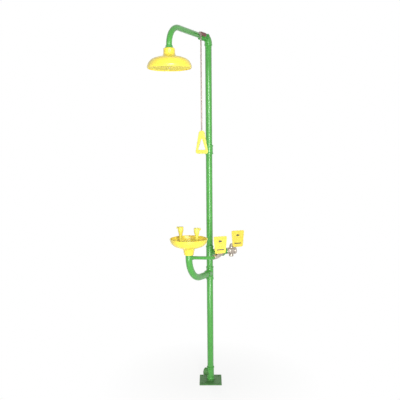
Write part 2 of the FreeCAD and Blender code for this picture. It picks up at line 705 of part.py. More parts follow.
# ---- Push levers: X along the plate, -Y towards the user, Z up the stem --------------------------------
def push_centre_z(valve):
    """Middle of the plate above the pipe's axis: the plate clears the valve that it turns over."""
    highest = max(valve.barrel, 2 * valve.end_r / math.sqrt(3))
    return highest + plate_lift + push_height / 2


def push_lever(valve, reach):
    """Bent bracket: a foot on the stem's square, and a leg that leans along the plate."""
    front = -leg_offset - leg_thick
    foot = fused([rod(leg_half, UP * valve.lever_z, UP * (valve.lever_z + lever_thick)),
                  Part.makeBox(2 * leg_half, -front, lever_thick, V(-leg_half, front, valve.lever_z))])
    top_z = push_centre_z(valve) + leg_over
    corners = [V(-leg_half, 0, valve.lever_z), V(leg_half, 0, valve.lever_z),
               V(reach + leg_half, 0, top_z), V(reach - leg_half, 0, top_z)]
    leg = Part.Face(Part.makePolygon(corners + corners[:1])).extrude(V(0, leg_thick, 0))
    leg.translate(V(0, front, 0))
    return fused([foot, leg])


def supply_lever():
    return in_supply_valve(push_lever(inch_valve, supply_plate_reach).cut(square_hole(inch_valve)))


def eyewash_lever():
    lever = placed(push_lever(half_valve, eyewash_plate_reach), eyewash_valve_at, supply_dir, UP)
    return lever.cut(in_eyewash_valve(square_hole(half_valve)))


def push_plate(valve, reach):
    """Tapered plate with round corners, on the front of the lever's leg."""
    centre_z = push_centre_z(valve)
    low, high = centre_z - push_height / 2, centre_z + push_height / 2
    corners = [V(reach - push_bottom / 2, 0, low), V(reach + push_bottom / 2, 0, low),
               V(reach + push_top / 2, 0, high), V(reach - push_top / 2, 0, high)]
    plate = Part.Face(rounded_outline(corners, push_corner)).extrude(V(0, push_thick, 0))
    plate.translate(V(0, -leg_offset - leg_thick - push_thick, 0))
    return plate


# ---- Shower arm and head ------------------------------------------------------------------------------
def shower_arm():
    start = V(0, shower_valve_y - inch_valve.half + inch_socket, arm_z)
    path = route([start, V(0, head_y, arm_z), V(0, head_y, arm_end_z)], [arm_bend_r])
    return swept(path, inch_r).cut(swept(path, inch_bore))


def at_head(shape):
    shape.translate(head_axis)
    return shape


def arm_ferrule():
    hole, low_r, top_r = inch_r + thread_clear, inch_r + ferrule_bottom_wall, inch_r + ferrule_top_wall
    bottom, top = ferrule_bottom_z, ferrule_bottom_z + ferrule_height
    return at_head(turned([(hole, bottom), (low_r, bottom), (low_r, bottom + ferrule_rim),
                           (top_r, top), (hole, top)]))


def head_shell():
    """Moulded bell: neck, shoulder, skirt and rim, with the same wall inside."""
    wall = head_wall
    socket = inch_r + thread_clear
    band_z = head_rim_z + head_band
    bulge = [(share * head_r, head_rim_z + rise) for share, rise in head_bulge]
    outer = [(head_neck_r, ferrule_bottom_z), (head_neck_r, ferrule_bottom_z - head_neck_height)] + bulge
    outer += [(head_r, band_z), (head_r, head_rim_z)]
    hollow = [(r - wall / 2, z - wall) for r, z in reversed(bulge)]
    inner = [(head_r - wall, head_rim_z), (head_r - wall, band_z)] + hollow
    inner += [(head_ceiling_r, head_ceiling_z), (head_passage_r, head_ceiling_z),
              (head_passage_r, arm_end_z), (socket, arm_end_z), (socket, ferrule_bottom_z)]
    return at_head(turned(outer + inner, curved=((1, 5), (8, 12))))


def rose_plate():
    """Perforated plate inside the head's rim."""
    bottom = head_rim_z + rose_rise
    top = UP * (bottom + rose_thick)
    holes = [rod(screw_r + thread_clear, UP * bottom, top)]
    for radius, count in rose_rings:
        holes += [rod(rose_hole_r, at, at + UP * rose_thick) for at in around(radius, count, bottom)]
    return at_head(rod(head_r - head_wall - thread_clear, UP * bottom, top).cut(Part.makeCompound(holes)))


def head_deflector():
    """Spreader disc under the inlet, on three legs, whose hub carries the rose."""
    rose_top = head_rim_z + rose_rise + rose_thick
    deflector_z = head_ceiling_z - deflector_drop
    parts = [rod(deflector_r, UP * deflector_z, UP * (deflector_z + deflector_thick)),
             rod(deflector_hub_r, UP * rose_top, UP * deflector_z)]
    for foot in around(deflector_leg_ring, 3, deflector_z):
        parts.append(rod(deflector_leg_r, foot, V(foot.x, foot.y, head_ceiling_z)))
    hole = rod(screw_r + thread_clear, UP * rose_top, UP * (rose_top + screw_length))
    return at_head(fused(parts).cut(hole))


def rose_screw():
    bottom = head_rim_z + rose_rise
    return at_head(fused([rod(screw_head_r, UP * (bottom - screw_head), UP * bottom),
                          rod(screw_r, UP * bottom, UP * (bottom + screw_length))]))


# ---- Bowl and nozzles ----------------------------------------------------------------------------------
def at_bowl(shape, x=0.0):
    shape.translate(bowl_axis + V(x, 0, 0))
    return shape


def bowl():
    """Moulded bowl with its neck, whose shoulder sits on the drain pipe's gasket."""
    wall = bowl_wall
    socket = post_r + thread_clear
    lip_z = bowl_rim_z - bowl_lip
    floor, under = bowl_floor_z, bowl_floor_z - bowl_floor_thick
    side = [(share * bowl_r, bowl_rim_z - drop) for share, drop in bowl_side]
    foot_r = bowl_floor_r + bowl_foot
    outer = [(bowl_r, lip_z)] + side + [(foot_r, under + bowl_floor_thick - 1), (bowl_floor_r - 1, under)]
    outer += [(post_r + neck_top_wall, under - neck_slope), (post_r + neck_bottom_wall, neck_bottom_z),
              (socket, neck_bottom_z), (socket, neck_shoulder_z), (post_bore, neck_shoulder_z)]
    hollow = [(r - wall, z + wall - 1) for r, z in reversed(side)]
    inner = [(post_bore, floor), (bowl_floor_r, floor), (foot_r - 1, floor + wall)] + hollow
    inner += [(bowl_r - wall, lip_z), (bowl_r - wall, bowl_rim_z), (bowl_r, bowl_rim_z)]
    return at_bowl(turned(outer + inner, curved=((0, 4), (11, 15))))


def neck_gasket():
    top = neck_shoulder_z
    return at_bowl(ring(post_r, post_bore, UP * (top - gasket_thick), UP * top))


def bowl_strainer():
    """Perforated disc over the bowl's outlet, round the riser."""
    top = bowl_floor_z + strainer_thick
    disc = ring(post_bore + strainer_rim, riser_r + thread_clear, UP * bowl_floor_z, UP * top)
    spots = around((riser_r + post_bore) / 2, strainer_holes, bowl_floor_z)
    holes = [rod(strainer_hole_r, at, at + UP * strainer_thick) for at in spots]
    return at_bowl(disc.cut(Part.makeCompound(holes)))


def nozzle_riser():
    """Riser inside the bowl's neck; its foot takes the end of the eyewash pipe."""
    entry, top = UP * riser_entry_z, UP * riser_top_z
    outwards = (eyewash_points()[1] - bowl_axis - entry).normalize()
    block = rod(riser_block_r, entry - UP * riser_block_r, entry + UP * riser_block_r)
    socket = rod(half_r + thread_clear, entry + outwards * riser_bore, entry + outwards * 2 * riser_block_r)
    way_in = rod(half_bore, entry, entry + outwards * riser_block_r)
    body = fused([block, rod(riser_r, entry, top)])
    return at_bowl(body.cut(rod(riser_bore, entry, top)).cut(socket).cut(way_in))


def nozzle_manifold():
    """Hub on the riser with an arm to each nozzle."""
    level = UP * manifold_z
    bottom = UP * (bowl_floor_z + hub_rise)
    parts = [rod(riser_r + hub_wall, bottom, level + UP * hub_crown)]
    holes = [rod(riser_r + thread_clear, bottom, UP * riser_top_z), rod(riser_bore, bottom, level)]
    for side in (-1, 1):
        knee = V(side * nozzle_spread, 0, manifold_z)
        path = route([level, knee, V(knee.x, 0, nozzle_base_z + nozzle_socket)], [manifold_bend_r])
        parts.append(swept(path, manifold_r))
        holes.append(swept(path, manifold_bore))
    return at_bowl(fused(parts).cut(fused(holes)))


def nozzle_cup():
    """Flared nozzle: a socket over the manifold's arm and a ledge under the spray disc."""
    top = nozzle_top_z
    bore = nozzle_r - nozzle_wall
    ledge = top - spray_disc_thick - spray_recess
    socket_r, socket_top = manifold_r + thread_clear, nozzle_base_z + nozzle_socket
    stem_r, stem_z = manifold_r + nozzle_stem_wall, nozzle_base_z + nozzle_stem
    lip_z = top - nozzle_lip
    outer = [(socket_r, nozzle_base_z), (stem_r, nozzle_base_z), (stem_r, stem_z),
             (nozzle_r - nozzle_swell, (stem_z + lip_z) / 2), (nozzle_r, lip_z), (nozzle_r, top)]
    inner = [(bore, top), (bore, ledge), (bore - nozzle_wall, ledge), (manifold_bore, stem_z),
             (manifold_bore, socket_top), (socket_r, socket_top)]
    return turned(outer + inner, curved=((2, 4),))


def nozzle(side):
    """Nozzle with lugs and a moulded pin for its dust cap, on the side away from the hub."""
    top = nozzle_top_z
    hinge = V(hinge_reach, 0, top + hinge_rise)
    bore = nozzle_r - nozzle_wall
    middle = knuckle_half + end_play + lug_thick / 2
    lugs = []
    for y in (-middle, middle):
        web = Part.makeBox(hinge_reach - bore, lug_thick, lug_depth,
                           V(bore, y - lug_thick / 2, hinge.z - lug_depth))
        eye = rod(lug_r, hinge + V(0, y - lug_thick / 2, 0), hinge + V(0, y + lug_thick / 2, 0))
        lugs += [web, eye]
    cap_room = rod(cap_r + face_gap, UP * top, UP * (top + cap_r))
    cap_room = cap_room.fuse(rod(bore, UP * (top - lug_depth), UP * top))
    pin = rod(hinge_pin_r, hinge - V(0, middle, 0), hinge + V(0, middle, 0))
    body = fused([nozzle_cup(), fused(lugs).cut(cap_room), pin])
    return at_bowl(placed(body, V(0, 0, 0), V(side, 0, 0), UP), side * nozzle_spread)


def spray_discs():
    """Perforated discs in both nozzles."""
    top = nozzle_top_z - spray_recess
    bottom = top - spray_disc_thick
    disc = rod(nozzle_r - nozzle_wall - thread_clear, UP * bottom, UP * top)
    for radius, count in spray_rings:
        holes = [rod(spray_hole_r, at, at + UP * spray_disc_thick) for at in around(radius, count, bottom)]
        disc = disc.cut(Part.makeCompound(holes))
    return Part.makeCompound([at_bowl(disc.copy(), side * nozzle_spread) for side in (-1, 1)])


def dust_cap(side):
    """Cap over a nozzle, with a knuckle on the nozzle's pin."""
    bottom = nozzle_top_z + face_gap
    crown_r = cap_r - cap_bevel
    lid = turned([(0, bottom), (cap_r, bottom), (cap_r, bottom + cap_thick),
                  (crown_r, bottom + cap_dome), (0, bottom + cap_dome)])
    hinge = V(hinge_reach, 0, nozzle_top_z + hinge_rise)
    ends = V(0, knuckle_half, 0)
    arm = Part.makeBox(hinge_reach - crown_r, 2 * knuckle_half, cap_thick - face_gap,
                       V(crown_r, -knuckle_half, bottom + face_gap))
    knuckle = rod(hinge_pin_r + knuckle_wall, hinge - ends, hinge + ends)
    body = fused([lid, arm, knuckle])
    body = body.cut(rod(hinge_pin_r + running_clear, hinge - ends, hinge + ends))
    return at_bowl(placed(body, V(0, 0, 0), V(side, 0, 0), UP), side * nozzle_spread)


# ---- Every node -------------------------------------------------------------------------------------------
nodes = {
    "base_plate": base_plate(),
    "base_nipple": base_nipple(),
    "bottom_tee": equal_tee(bottom_tee_z, V(-1, 0, 0)),
    "lower_post": post_pipe(above(bottom_tee_z), below(drain_tee_z)),
    "drain_tee": equal_tee(drain_tee_z, V(0, -1, 0)),
    "mid_nipple": post_pipe(above(drain_tee_z), below(supply_z)),
    "blanking_plug": blanking_plug(),
    "supply_tee": supply_tee(),
    "middle_post": post_pipe(above(supply_z), coupling_z - coupling_stop),
    "post_coupling": post_coupling(),
    "upper_post": post_pipe(coupling_z + coupling_stop, below(arm_z)),
    "top_elbow": top_elbow(),
    "drain_pipe": drain_pipe(),
    "supply_nipples": supply_nipples(),
    "reducing_tee": reducing_tee(),
    "eyewash_elbow": eyewash_elbow(),
    "eyewash_nipple": eyewash_nipple(),
    "eyewash_pipe": eyewash_pipe(),
    "shower_valve_body": in_shower_valve(valve_body(inch_valve)),
    "shower_valve_end": in_shower_valve(valve_end(inch_valve)),
    "shower_ball": in_shower_valve(valve_ball(inch_valve)),
    "shower_stem": in_shower_valve(valve_stem(inch_valve)),
    "shower_lever": shower_lever(),
    "shower_lever_nut": in_shower_valve(lever_nut(inch_valve)),
    "lever_sleeve": lever_sleeve(),
    "supply_valve_body": in_supply_valve(valve_body(inch_valve, drain=True)),
    "supply_valve_end": in_supply_valve(valve_end(inch_valve)),
    "supply_ball": in_supply_valve(valve_ball(inch_valve, drain=True)),
    "supply_stem": in_supply_valve(valve_stem(inch_valve)),
    "supply_lever": supply_lever(),
    "supply_lever_nut": in_supply_valve(lever_nut(inch_valve)),
    "supply_plate": in_supply_valve(push_plate(inch_valve, supply_plate_reach)),
    "eyewash_valve_body": in_eyewash_valve(valve_body(half_valve)),
    "eyewash_valve_end": in_eyewash_valve(valve_end(half_valve, valve_tail)),
    "eyewash_ball": in_eyewash_valve(valve_ball(half_valve)),
    "eyewash_stem": in_eyewash_valve(valve_stem(half_valve)),
    "eyewash_lever": eyewash_lever(),
    "eyewash_lever_nut": in_eyewash_valve(lever_nut(half_valve)),
    "eyewash_plate": placed(push_plate(half_valve, eyewash_plate_reach), eyewash_valve_at, supply_dir, UP),
    "seat_rings": seat_rings(),
    "gland_nuts": gland_nuts(),
    "pull_rod": pull_rod(),
    "pull_handle": pull_handle(),
    "shower_arm": shower_arm(),
    "arm_ferrule": arm_ferrule(),
    "head_shell": head_shell(),
    "rose_plate": rose_plate(),
    "head_deflector": head_deflector(),
    "rose_screw": rose_screw(),
    "bowl": bowl(),
    "neck_gasket": neck_gasket(),
    "bowl_strainer": bowl_strainer(),
    "nozzle_riser": nozzle_riser(),
    "nozzle_manifold": nozzle_manifold(),
    "nozzle_left": nozzle(-1),
    "nozzle_right": nozzle(1),
    "spray_discs": spray_discs(),
    "dust_cap_left": dust_cap(-1),
    "dust_cap_right": dust_cap(1),
}

os.makedirs("parts", exist_ok=True)
for name, shape in nodes.items():
    shape.exportStep(f"parts/{name}.step")
    print(f"{name:20s} solids {len(shape.Solids)}, valid {shape.isValid()}, {shape.Volume / 1000:.2f} cm3")
print(len(nodes), "nodes")
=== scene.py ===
# %% [markdown]
# # An emergency shower with an eyewash
# The object is a floor-standing safety unit: a green post of steel pipe, a shower head on a bent arm, a
# pull handle on a rod, a bowl with two eyewash nozzles, and two yellow push plates that open the valves.
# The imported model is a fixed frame: its bodies, joints and sizes hold. This lesson dresses that frame with
# smooth surfaces that are worked out with numpy, and with finishes that are made from nodes.

# %% Load the frame
import json
import math

import bmesh
import bpy
import numpy as np
from mathutils import Matrix, Vector


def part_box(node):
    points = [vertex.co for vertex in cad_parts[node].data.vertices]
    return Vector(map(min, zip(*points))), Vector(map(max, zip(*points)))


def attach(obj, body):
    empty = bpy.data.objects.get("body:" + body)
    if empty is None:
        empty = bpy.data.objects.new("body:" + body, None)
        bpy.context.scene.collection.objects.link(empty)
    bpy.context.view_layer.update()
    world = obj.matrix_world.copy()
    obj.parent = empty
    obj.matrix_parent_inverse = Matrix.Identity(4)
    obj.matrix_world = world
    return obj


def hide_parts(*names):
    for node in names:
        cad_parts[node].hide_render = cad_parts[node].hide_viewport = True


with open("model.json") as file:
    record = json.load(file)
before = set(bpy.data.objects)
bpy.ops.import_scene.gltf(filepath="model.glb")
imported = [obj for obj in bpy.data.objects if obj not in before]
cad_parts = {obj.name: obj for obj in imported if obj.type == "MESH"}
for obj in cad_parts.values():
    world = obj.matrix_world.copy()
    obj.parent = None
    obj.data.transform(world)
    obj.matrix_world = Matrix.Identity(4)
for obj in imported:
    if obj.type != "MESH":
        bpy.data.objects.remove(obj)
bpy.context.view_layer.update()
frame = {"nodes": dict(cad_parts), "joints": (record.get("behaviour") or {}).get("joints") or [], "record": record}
nodes = frame["nodes"]

# %% [markdown]
# ## Places
# Shapes are worked out in millimetres and scaled once, when a mesh is made. Valves and hinges stand at the
# frame's joints, and a pipe reaches as far as its box, so nothing is fitted by eye.

# %% Read places from the frame
MM = 0.001
TURN = 2 * np.pi
X, Y, Z = np.eye(3)


def unit(vector):
    """A vector of length one in the same direction."""
    return np.asarray(vector, float) / np.linalg.norm(vector)


def pivot(joint):
    """Where a joint's axis stands, in millimetres."""
    return np.array(next(j for j in frame["joints"] if j["name"] == joint)["pos_m"]) / MM


def reach(node):
    """Lowest and highest corner of a node, in millimetres."""
    low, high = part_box(node)
    return np.array(low) / MM, np.array(high) / MM


def middle(node):
    """The middle of a node's box, in millimetres."""
    return sum(reach(node)) / 2


SUPPLY_VALVE = pivot("supply_valve_turn")
EYEWASH_VALVE = pivot("eyewash_valve_turn")
SHOWER_VALVE = pivot("shower_valve_turn") * (0, 1, 1)
SUPPLY_Z, ARM_Z = SUPPLY_VALVE[2], SHOWER_VALVE[2]
ALONG = unit(SUPPLY_VALVE * (1, 1, 0))  # the supply line, away from the post
ASIDE = np.array([ALONG[1], -ALONG[0], 0])  # from the supply line towards the user
print("supply valve", SUPPLY_VALVE.round(1), "eyewash valve", EYEWASH_VALVE.round(1))

# %% [markdown]
# ## Surfaces from numbers
# A surface is a grid of points: the rows follow a profile, and the columns go round. Most profiles come
# back to where they began, which makes a ring with an inside and an outside wall. One that begins on the
# axis also ends there, in two poles. The sign of the enclosed volume says which way the faces look.

# %% Turn grids into a piece
MERGE, EMPTY = 2e-6, 1e-6  # metres: nearer points are one point, and narrower faces are dropped
SMOOTH = 38  # degrees: an edge that turns by more is drawn sharp


def grid_faces(points):
    """Four corner numbers for each cell of a grid. The columns wrap, and so do the rows, unless the first
    row is a pole."""
    number = np.arange(points.shape[0] * points.shape[1]).reshape(points.shape[:2])
    ahead = np.roll(number, -1, 0)
    faces = np.stack([number, np.roll(number, -1, 1), np.roll(ahead, -1, 1), ahead], -1)
    pole = np.ptp(points[0], axis=0).max() < 1e-9
    faces = faces[:-1 if pole else None].reshape(-1, 4)
    flat = points.reshape(-1, 3) - points.reshape(-1, 3).mean(0)
    a, b, c, d = (flat[faces[:, i]] for i in range(4))
    volume = (a * np.cross(b, c)).sum() + (a * np.cross(c, d)).sum()
    return faces if volume > 0 else faces[:, ::-1]


def finish_mesh(mesh, sharp=SMOOTH, joined=0):
    """Merges doubled points and drops empty faces, or joins faces that turn by less than joined. Shades
    smooth up to the angle sharp. Both are in degrees."""
    work = bmesh.new()
    work.from_mesh(mesh)
    bmesh.ops.remove_doubles(work, verts=work.verts, dist=MERGE)
    if joined:
        bmesh.ops.dissolve_limit(work, angle_limit=math.radians(joined), verts=work.verts, edges=work.edges)
    else:
        bmesh.ops.dissolve_degenerate(work, edges=work.edges, dist=EMPTY)
    work.to_mesh(mesh)
    work.free()
    mesh.shade_smooth()
    mesh.set_sharp_from_angle(angle=math.radians(sharp))


def stand(name, data):
    """A new object in the scene."""
    made = bpy.data.objects.new(name, data)
    bpy.context.scene.collection.objects.link(made)
    return made


def hang(made, like, body, material=None, stands_for=None):
    """Puts a new object on its body. The node that it is like gives its material, picked by its slot, and the node
    that it stands for, unless these are given."""
    slot = SLOT.get(like)
    if stands_for is None:
        stands_for = [like]
    made.data.materials.clear()
    made.data.materials.append(material or FINISHES[slot])
    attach(made, body)
    if stands_for:
        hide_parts(*stands_for)
    print(f"{made.name}: {len(made.data.polygons)} faces on {body}")
    return made


def mesh_of(name, grids, sharp=SMOOTH):
    """One finished mesh from grids in millimetres."""
    points, faces, start = [], [], 0
    for grid in grids:
        faces.append(grid_faces(grid) + start)
        points.append(grid.reshape(-1, 3) * MM)
        start += len(points[-1])
    mesh = bpy.data.meshes.new(name)
    mesh.from_pydata(np.vstack(points).tolist(), [], np.vstack(faces).tolist())
    finish_mesh(mesh, sharp)
    return mesh


def piece(name, grids, like, body="frame", material=None, stands_for=None, sharp=SMOOTH):
    """Makes one object from grids and hangs it on a body."""
    return hang(stand(name, mesh_of(name, grids, sharp)), like, body, material, stands_for)


# %% [markdown]
# ## Soft corners
# A moulded or cast part has no razor edges: light runs along its corners. So a profile's corner becomes a
# short parabola that touches both of its sides, which is near enough to a fillet.

# %% Round the corners of a profile
def soft(points, radius, steps=5, ring=False):
    """Replaces each corner by a parabola. It starts and ends at the distance radius from the corner,
    or at 0.45 of the shorter side if that is less. radius is one number, or one for each point. The two
    ends stay, unless the line is a ring."""
    p = np.asarray(points, float)
    to_before, to_after = np.roll(p, 1, 0) - p, np.roll(p, -1, 0) - p
    before, after = np.linalg.norm(to_before, axis=1), np.linalg.norm(to_after, axis=1)
    distance = np.minimum(np.broadcast_to(radius, len(p)), 0.45 * np.minimum(before, after))[:, None]
    first = p + to_before / before[:, None] * distance
    last = p + to_after / after[:, None] * distance
    t = np.linspace(0, 1, steps)[None, :, None]
    curve = (1 - t) ** 2 * first[:, None] + 2 * t * (1 - t) * p[:, None] + t ** 2 * last[:, None]
    if ring:
        return curve.reshape(-1, p.shape[1])
    return np.vstack([p[:1], curve[1:-1].reshape(-1, p.shape[1]), p[-1:]])


def flowing(points, steps=8):
    """A smooth line of cubics through points. Its slope at each is half the difference of the neighbours."""
    p = np.asarray(points, float)
    padded = np.vstack([2 * p[0] - p[1], p, 2 * p[-1] - p[-2]])
    a, b, c, d = (v[:, None] for v in (padded[:-3], padded[1:-2], padded[2:-1], padded[3:]))
    t = np.linspace(0, 1, steps, endpoint=False)[None, :, None]
    curve = (b + (c - a) * t / 2 + (a - 2.5 * b + 2 * c - d / 2) * t ** 2
        + (1.5 * (b - c) + (d - a) / 2) * t ** 3)
    return np.vstack([curve.reshape(-1, p.shape[1]), p[-1:]])


# %% [markdown]
# ## Turned pieces
# A lathe, a pipe die and most moulds make shapes of revolution. A profile gives the radius and the height,
# and the surface turns it round an axis that may point anywhere.

# %% Turn a profile round an axis
def circle(count):
    """Equal angles once round."""
    return np.linspace(0, TURN, count, endpoint=False)


def sideways(axis):
    """Two directions square to an axis and to each other."""
    axis = unit(axis)
    first = unit(np.cross(axis, X if abs(axis[0]) < 0.7 else Y))
    return first, np.cross(axis, first)


def turned(profile, at=(0, 0, 0), axis=Z, count=64, swell=None):
    """Point = place + axis x height + radius x (cos a, sin a) in the plane square to the axis. swell, a
    function of angle and height, may add to the radius."""
    profile = np.asarray(profile, float)
    angle = circle(count)[None, :, None]
    radius, height = profile[:, 0, None, None], profile[:, 1, None, None]
    if swell is not None:
        radius = radius + swell(angle, height)
    first, second = sideways(axis)
    spoke = radius * (np.cos(angle) * first + np.sin(angle) * second)
    return at + unit(axis) * height + spoke


def tube(outer, inner, low, high, edge=0.4):
    """Closed profile of a straight pipe with lightly broken edges."""
    return soft([(outer, low), (outer, high), (inner, high), (inner, low)], edge, 3, ring=True)


def bar(start, end, radius, edge=0.3, count=32):
    """A solid round bar with broken edges, from point to point."""
    length = np.linalg.norm(end - start)
    profile = soft([(0, 0), (radius, 0), (radius, length), (0, length)], [0, edge, edge, 0], 4)
    return turned(profile, start, end - start, count)


# %% [markdown]
# ## Bent pieces
# Arm, drain pipe and pull rod were bent from straight bars. A circle is carried along their middle line,
# which is two straights and the arc that touches both. It lies in one plane, so the circle never twists.

# %% Carry a circle along a bent line
def bent(start, corner, end, radius, steps=28):
    """Points and directions of a line with one bend: straight, arc, straight."""
    start, corner, end = (np.asarray(p, float) for p in (start, corner, end))
    back, onward = unit(start - corner), unit(end - corner)
    half = np.arccos(back @ onward) / 2
    first = corner + back * radius / np.tan(half)
    centre = corner + unit(back + onward) * radius / np.sin(half)
    turn = np.linspace(0, np.pi - 2 * half, steps)[:, None]
    arc = centre + (first - centre) * np.cos(turn) - back * radius * np.sin(turn)
    heading = -(first - centre) / radius * np.sin(turn) - back * np.cos(turn)
    return np.vstack([start, arc, end]), np.vstack([-back, heading, onward])


def carried(line, profile, count=48):
    """Point = line(s) + radius(s) x (cos a x normal + sin a x binormal), where normal is square to the
    plane of the line. profile is (distance s, radius), with s never falling."""
    points, headings = line
    distance = np.r_[0, np.cumsum(np.linalg.norm(np.diff(points, axis=0), axis=1))]
    at, radius = np.asarray(profile, float).T
    inner = distance[(distance > at[0]) & (distance < at[-1])]
    order = np.argsort(np.r_[at, inner], kind="stable")
    s = np.r_[at, inner][order]
    r = np.r_[radius, np.interp(inner, at, radius)][order][:, None, None]
    place, heading = (np.stack([np.interp(s, distance, v[:, i]) for i in range(3)], -1)[:, None]
        for v in (points, headings))
    heading = heading / np.linalg.norm(heading, axis=-1, keepdims=True)
    normal = np.cross(headings[0], headings[-1])
    normal = unit(normal) if np.linalg.norm(normal) > 1e-6 else sideways(headings[0])[0]
    angle = circle(count)[None, :, None]
    return place + r * (np.cos(angle) * normal + np.sin(angle) * np.cross(heading, normal))


def line_length(line):
    """Length of a bent line."""
    return np.linalg.norm(np.diff(line[0], axis=0), axis=1).sum()


def bent_tube(line, outer, inner, count=48):
    """A pipe along a bent line: the outside forwards, then the inside backwards, as one ring of rows."""
    length = line_length(line)
    outside, inside = (carried(line, [(0, r), (length, r)], count) for r in (outer, inner))
    return np.vstack([outside, inside[::-1]])


# %% [markdown]
# ## The stage
# The stage is a pale floor, a white surrounding and large soft lamps. The surrounding is white where
# the camera or a reflection sees it, and weaker where it lights the object. The floor keeps the shadow near
# the base and fades to the same white.

# %% Helpers for node trees
def add(tree, kind, *sockets, settings=(), **inputs):
    """Adds a node and returns its outputs. An input is given by its place or by its name, with _ for a
    blank, and is a socket to link from or a plain value."""
    node = tree.nodes.new("ShaderNode" + kind)
    for key, value in dict(settings).items():
        setattr(node, key, value)
    named = [(key.replace("_", " "), value) for key, value in inputs.items()]
    for key, value in [*enumerate(sockets), *named]:
        if isinstance(value, bpy.types.NodeSocket):
            tree.links.new(value, node.inputs[key])
        else:
            node.inputs[key].default_value = value
    return node.outputs


def reckon(tree, operation, *values):
    """Output of a Math node."""
    return add(tree, "Math", *values, settings={"operation": operation})[0]


def ramp(tree, value, start, end, low=0.0, high=1.0):
    """Output of a Map Range node: low at start and high at end."""
    return add(tree, "MapRange", value, start, end, low, high)[0]


def bare_tree(owner):
    """The emptied node tree of a new material or world."""
    owner.use_nodes = True
    owner.node_tree.nodes.clear()
    return owner.node_tree


def looked_at(tree):
    """One for a ray from the camera or off a shiny or clear surface, else nought: the largest flag."""
    path = add(tree, "LightPath")
    seen = reckon(tree, "MAXIMUM", path["Is Camera Ray"], path["Is Glossy Ray"])
    return reckon(tree, "MAXIMUM", seen, path["Is Transmission Ray"])


# %% White surrounding
AMBIENT = 0.2  # strength of the surrounding as a light
world = bpy.data.worlds.new("surrounding")
scene = bpy.context.scene
scene.world = world
tree = bare_tree(world)
strength = ramp(tree, looked_at(tree), 0.0, 1.0, AMBIENT)
background = add(tree, "Background", Color=(1, 1, 1, 1), Strength=strength)[0]
add(tree, "OutputWorld", Surface=background)
print("surrounding ready")

# %% Pale floor
FLOOR_HALF = 9.0  # metres
FADE_START, FADE_END = 0.12, 0.75  # metres from the post, where the floor turns white
square = np.array([(-1, -1, 0), (1, -1, 0), (1, 1, 0), (-1, 1, 0)]) * FLOOR_HALF
mesh = bpy.data.meshes.new("floor")
mesh.from_pydata(square.tolist(), [], [(0, 1, 2, 3)])
floor = stand("floor", mesh)
pale = bpy.data.materials.new("pale_floor")
tree = bare_tree(pale)
far = add(tree, "VectorMath", add(tree, "TexCoord")["Object"], settings={"operation": "LENGTH"})
fade = ramp(tree, far["Value"], FADE_START, FADE_END, 0.8)
share = reckon(tree, "MULTIPLY", fade, looked_at(tree))
matt = add(tree, "BsdfDiffuse", Color=(0.94, 0.94, 0.93, 1))[0]
glow = add(tree, "Emission", Color=(1, 1, 1, 1), Strength=1.0)[0]
add(tree, "OutputMaterial", Surface=add(tree, "MixShader", share, matt, glow)[0])
mesh.materials.append(pale)
print("floor", 2 * FLOOR_HALF, "m wide")


# %% Camera
def look(obj, place, target, roll=0.0):
    """Stands an object at a place in metres with its -Z towards the target and its top up."""
    ahead = (Vector(target) - Vector(place)).normalized()
    facing = ahead.to_track_quat("-Z", "Y").to_matrix() @ Matrix.Rotation(roll, 3, "Z")
    obj.rotation_euler = facing.to_euler()
    obj.location = place


LENS, SENSOR = 47.73, 36.0  # millimetres
CAMERA_PLACE = np.array([1.589, -3.109, 1.635])
BEARING, PITCH, ROLL = (math.radians(a) for a in (28.09, -6.3, -0.51))
camera = stand("camera", bpy.data.cameras.new("camera"))
camera.data.lens, camera.data.sensor_width = LENS, SENSOR
ahead = np.array([-math.sin(BEARING) * math.cos(PITCH), math.cos(BEARING) * math.cos(PITCH), math.sin(PITCH)])
look(camera, CAMERA_PLACE, CAMERA_PLACE + ahead, ROLL)
scene.camera = camera
scene.view_settings.view_transform = "Standard"
print("camera at", CAMERA_PLACE)


# %% Soft lamps
def softbox(name, place, target, size, power, shine=True):
    """A rectangular area lamp, in metres and watts. Without shine it only fills: it isn't mirrored."""
    lamp = bpy.data.lights.new(name, "AREA")
    lamp.shape, lamp.energy = "RECTANGLE", power
    lamp.size, lamp.size_y = size
    obj = stand(name, lamp)
    obj.visible_glossy = shine
    look(obj, place, target)
    print(name, "lamp of", power, "W")


softbox("key", (2.12, -2.66, 1.45), (0, 0, 1.45), (0.8, 2.0), 86)
softbox("front", (-0.6, -4.0, 2.0), (0, -0.3, 1.6), (1.2, 1.2), 10, shine=False)
softbox("bounce", (0.95, -2.3, 0.42), (0, -0.2, 1.3), (0.6, 0.55), 14)
softbox("bowl", (0.75, -1.6, 2.2), (0, -0.25, 1.0), (0.7, 0.7), 11)
softbox("back", (-2.2, 2.4, 2.4), (0, 0, 1.2), (1.6, 1.6), 50, shine=False)

# %% [markdown]
# ## Finishes
# A real surface is never quite even in its colour, its gloss or its relief. All three vary by noise on
# Object coordinates, which are metres in the frame, so a scale of 1000 is a grain of a millimetre.


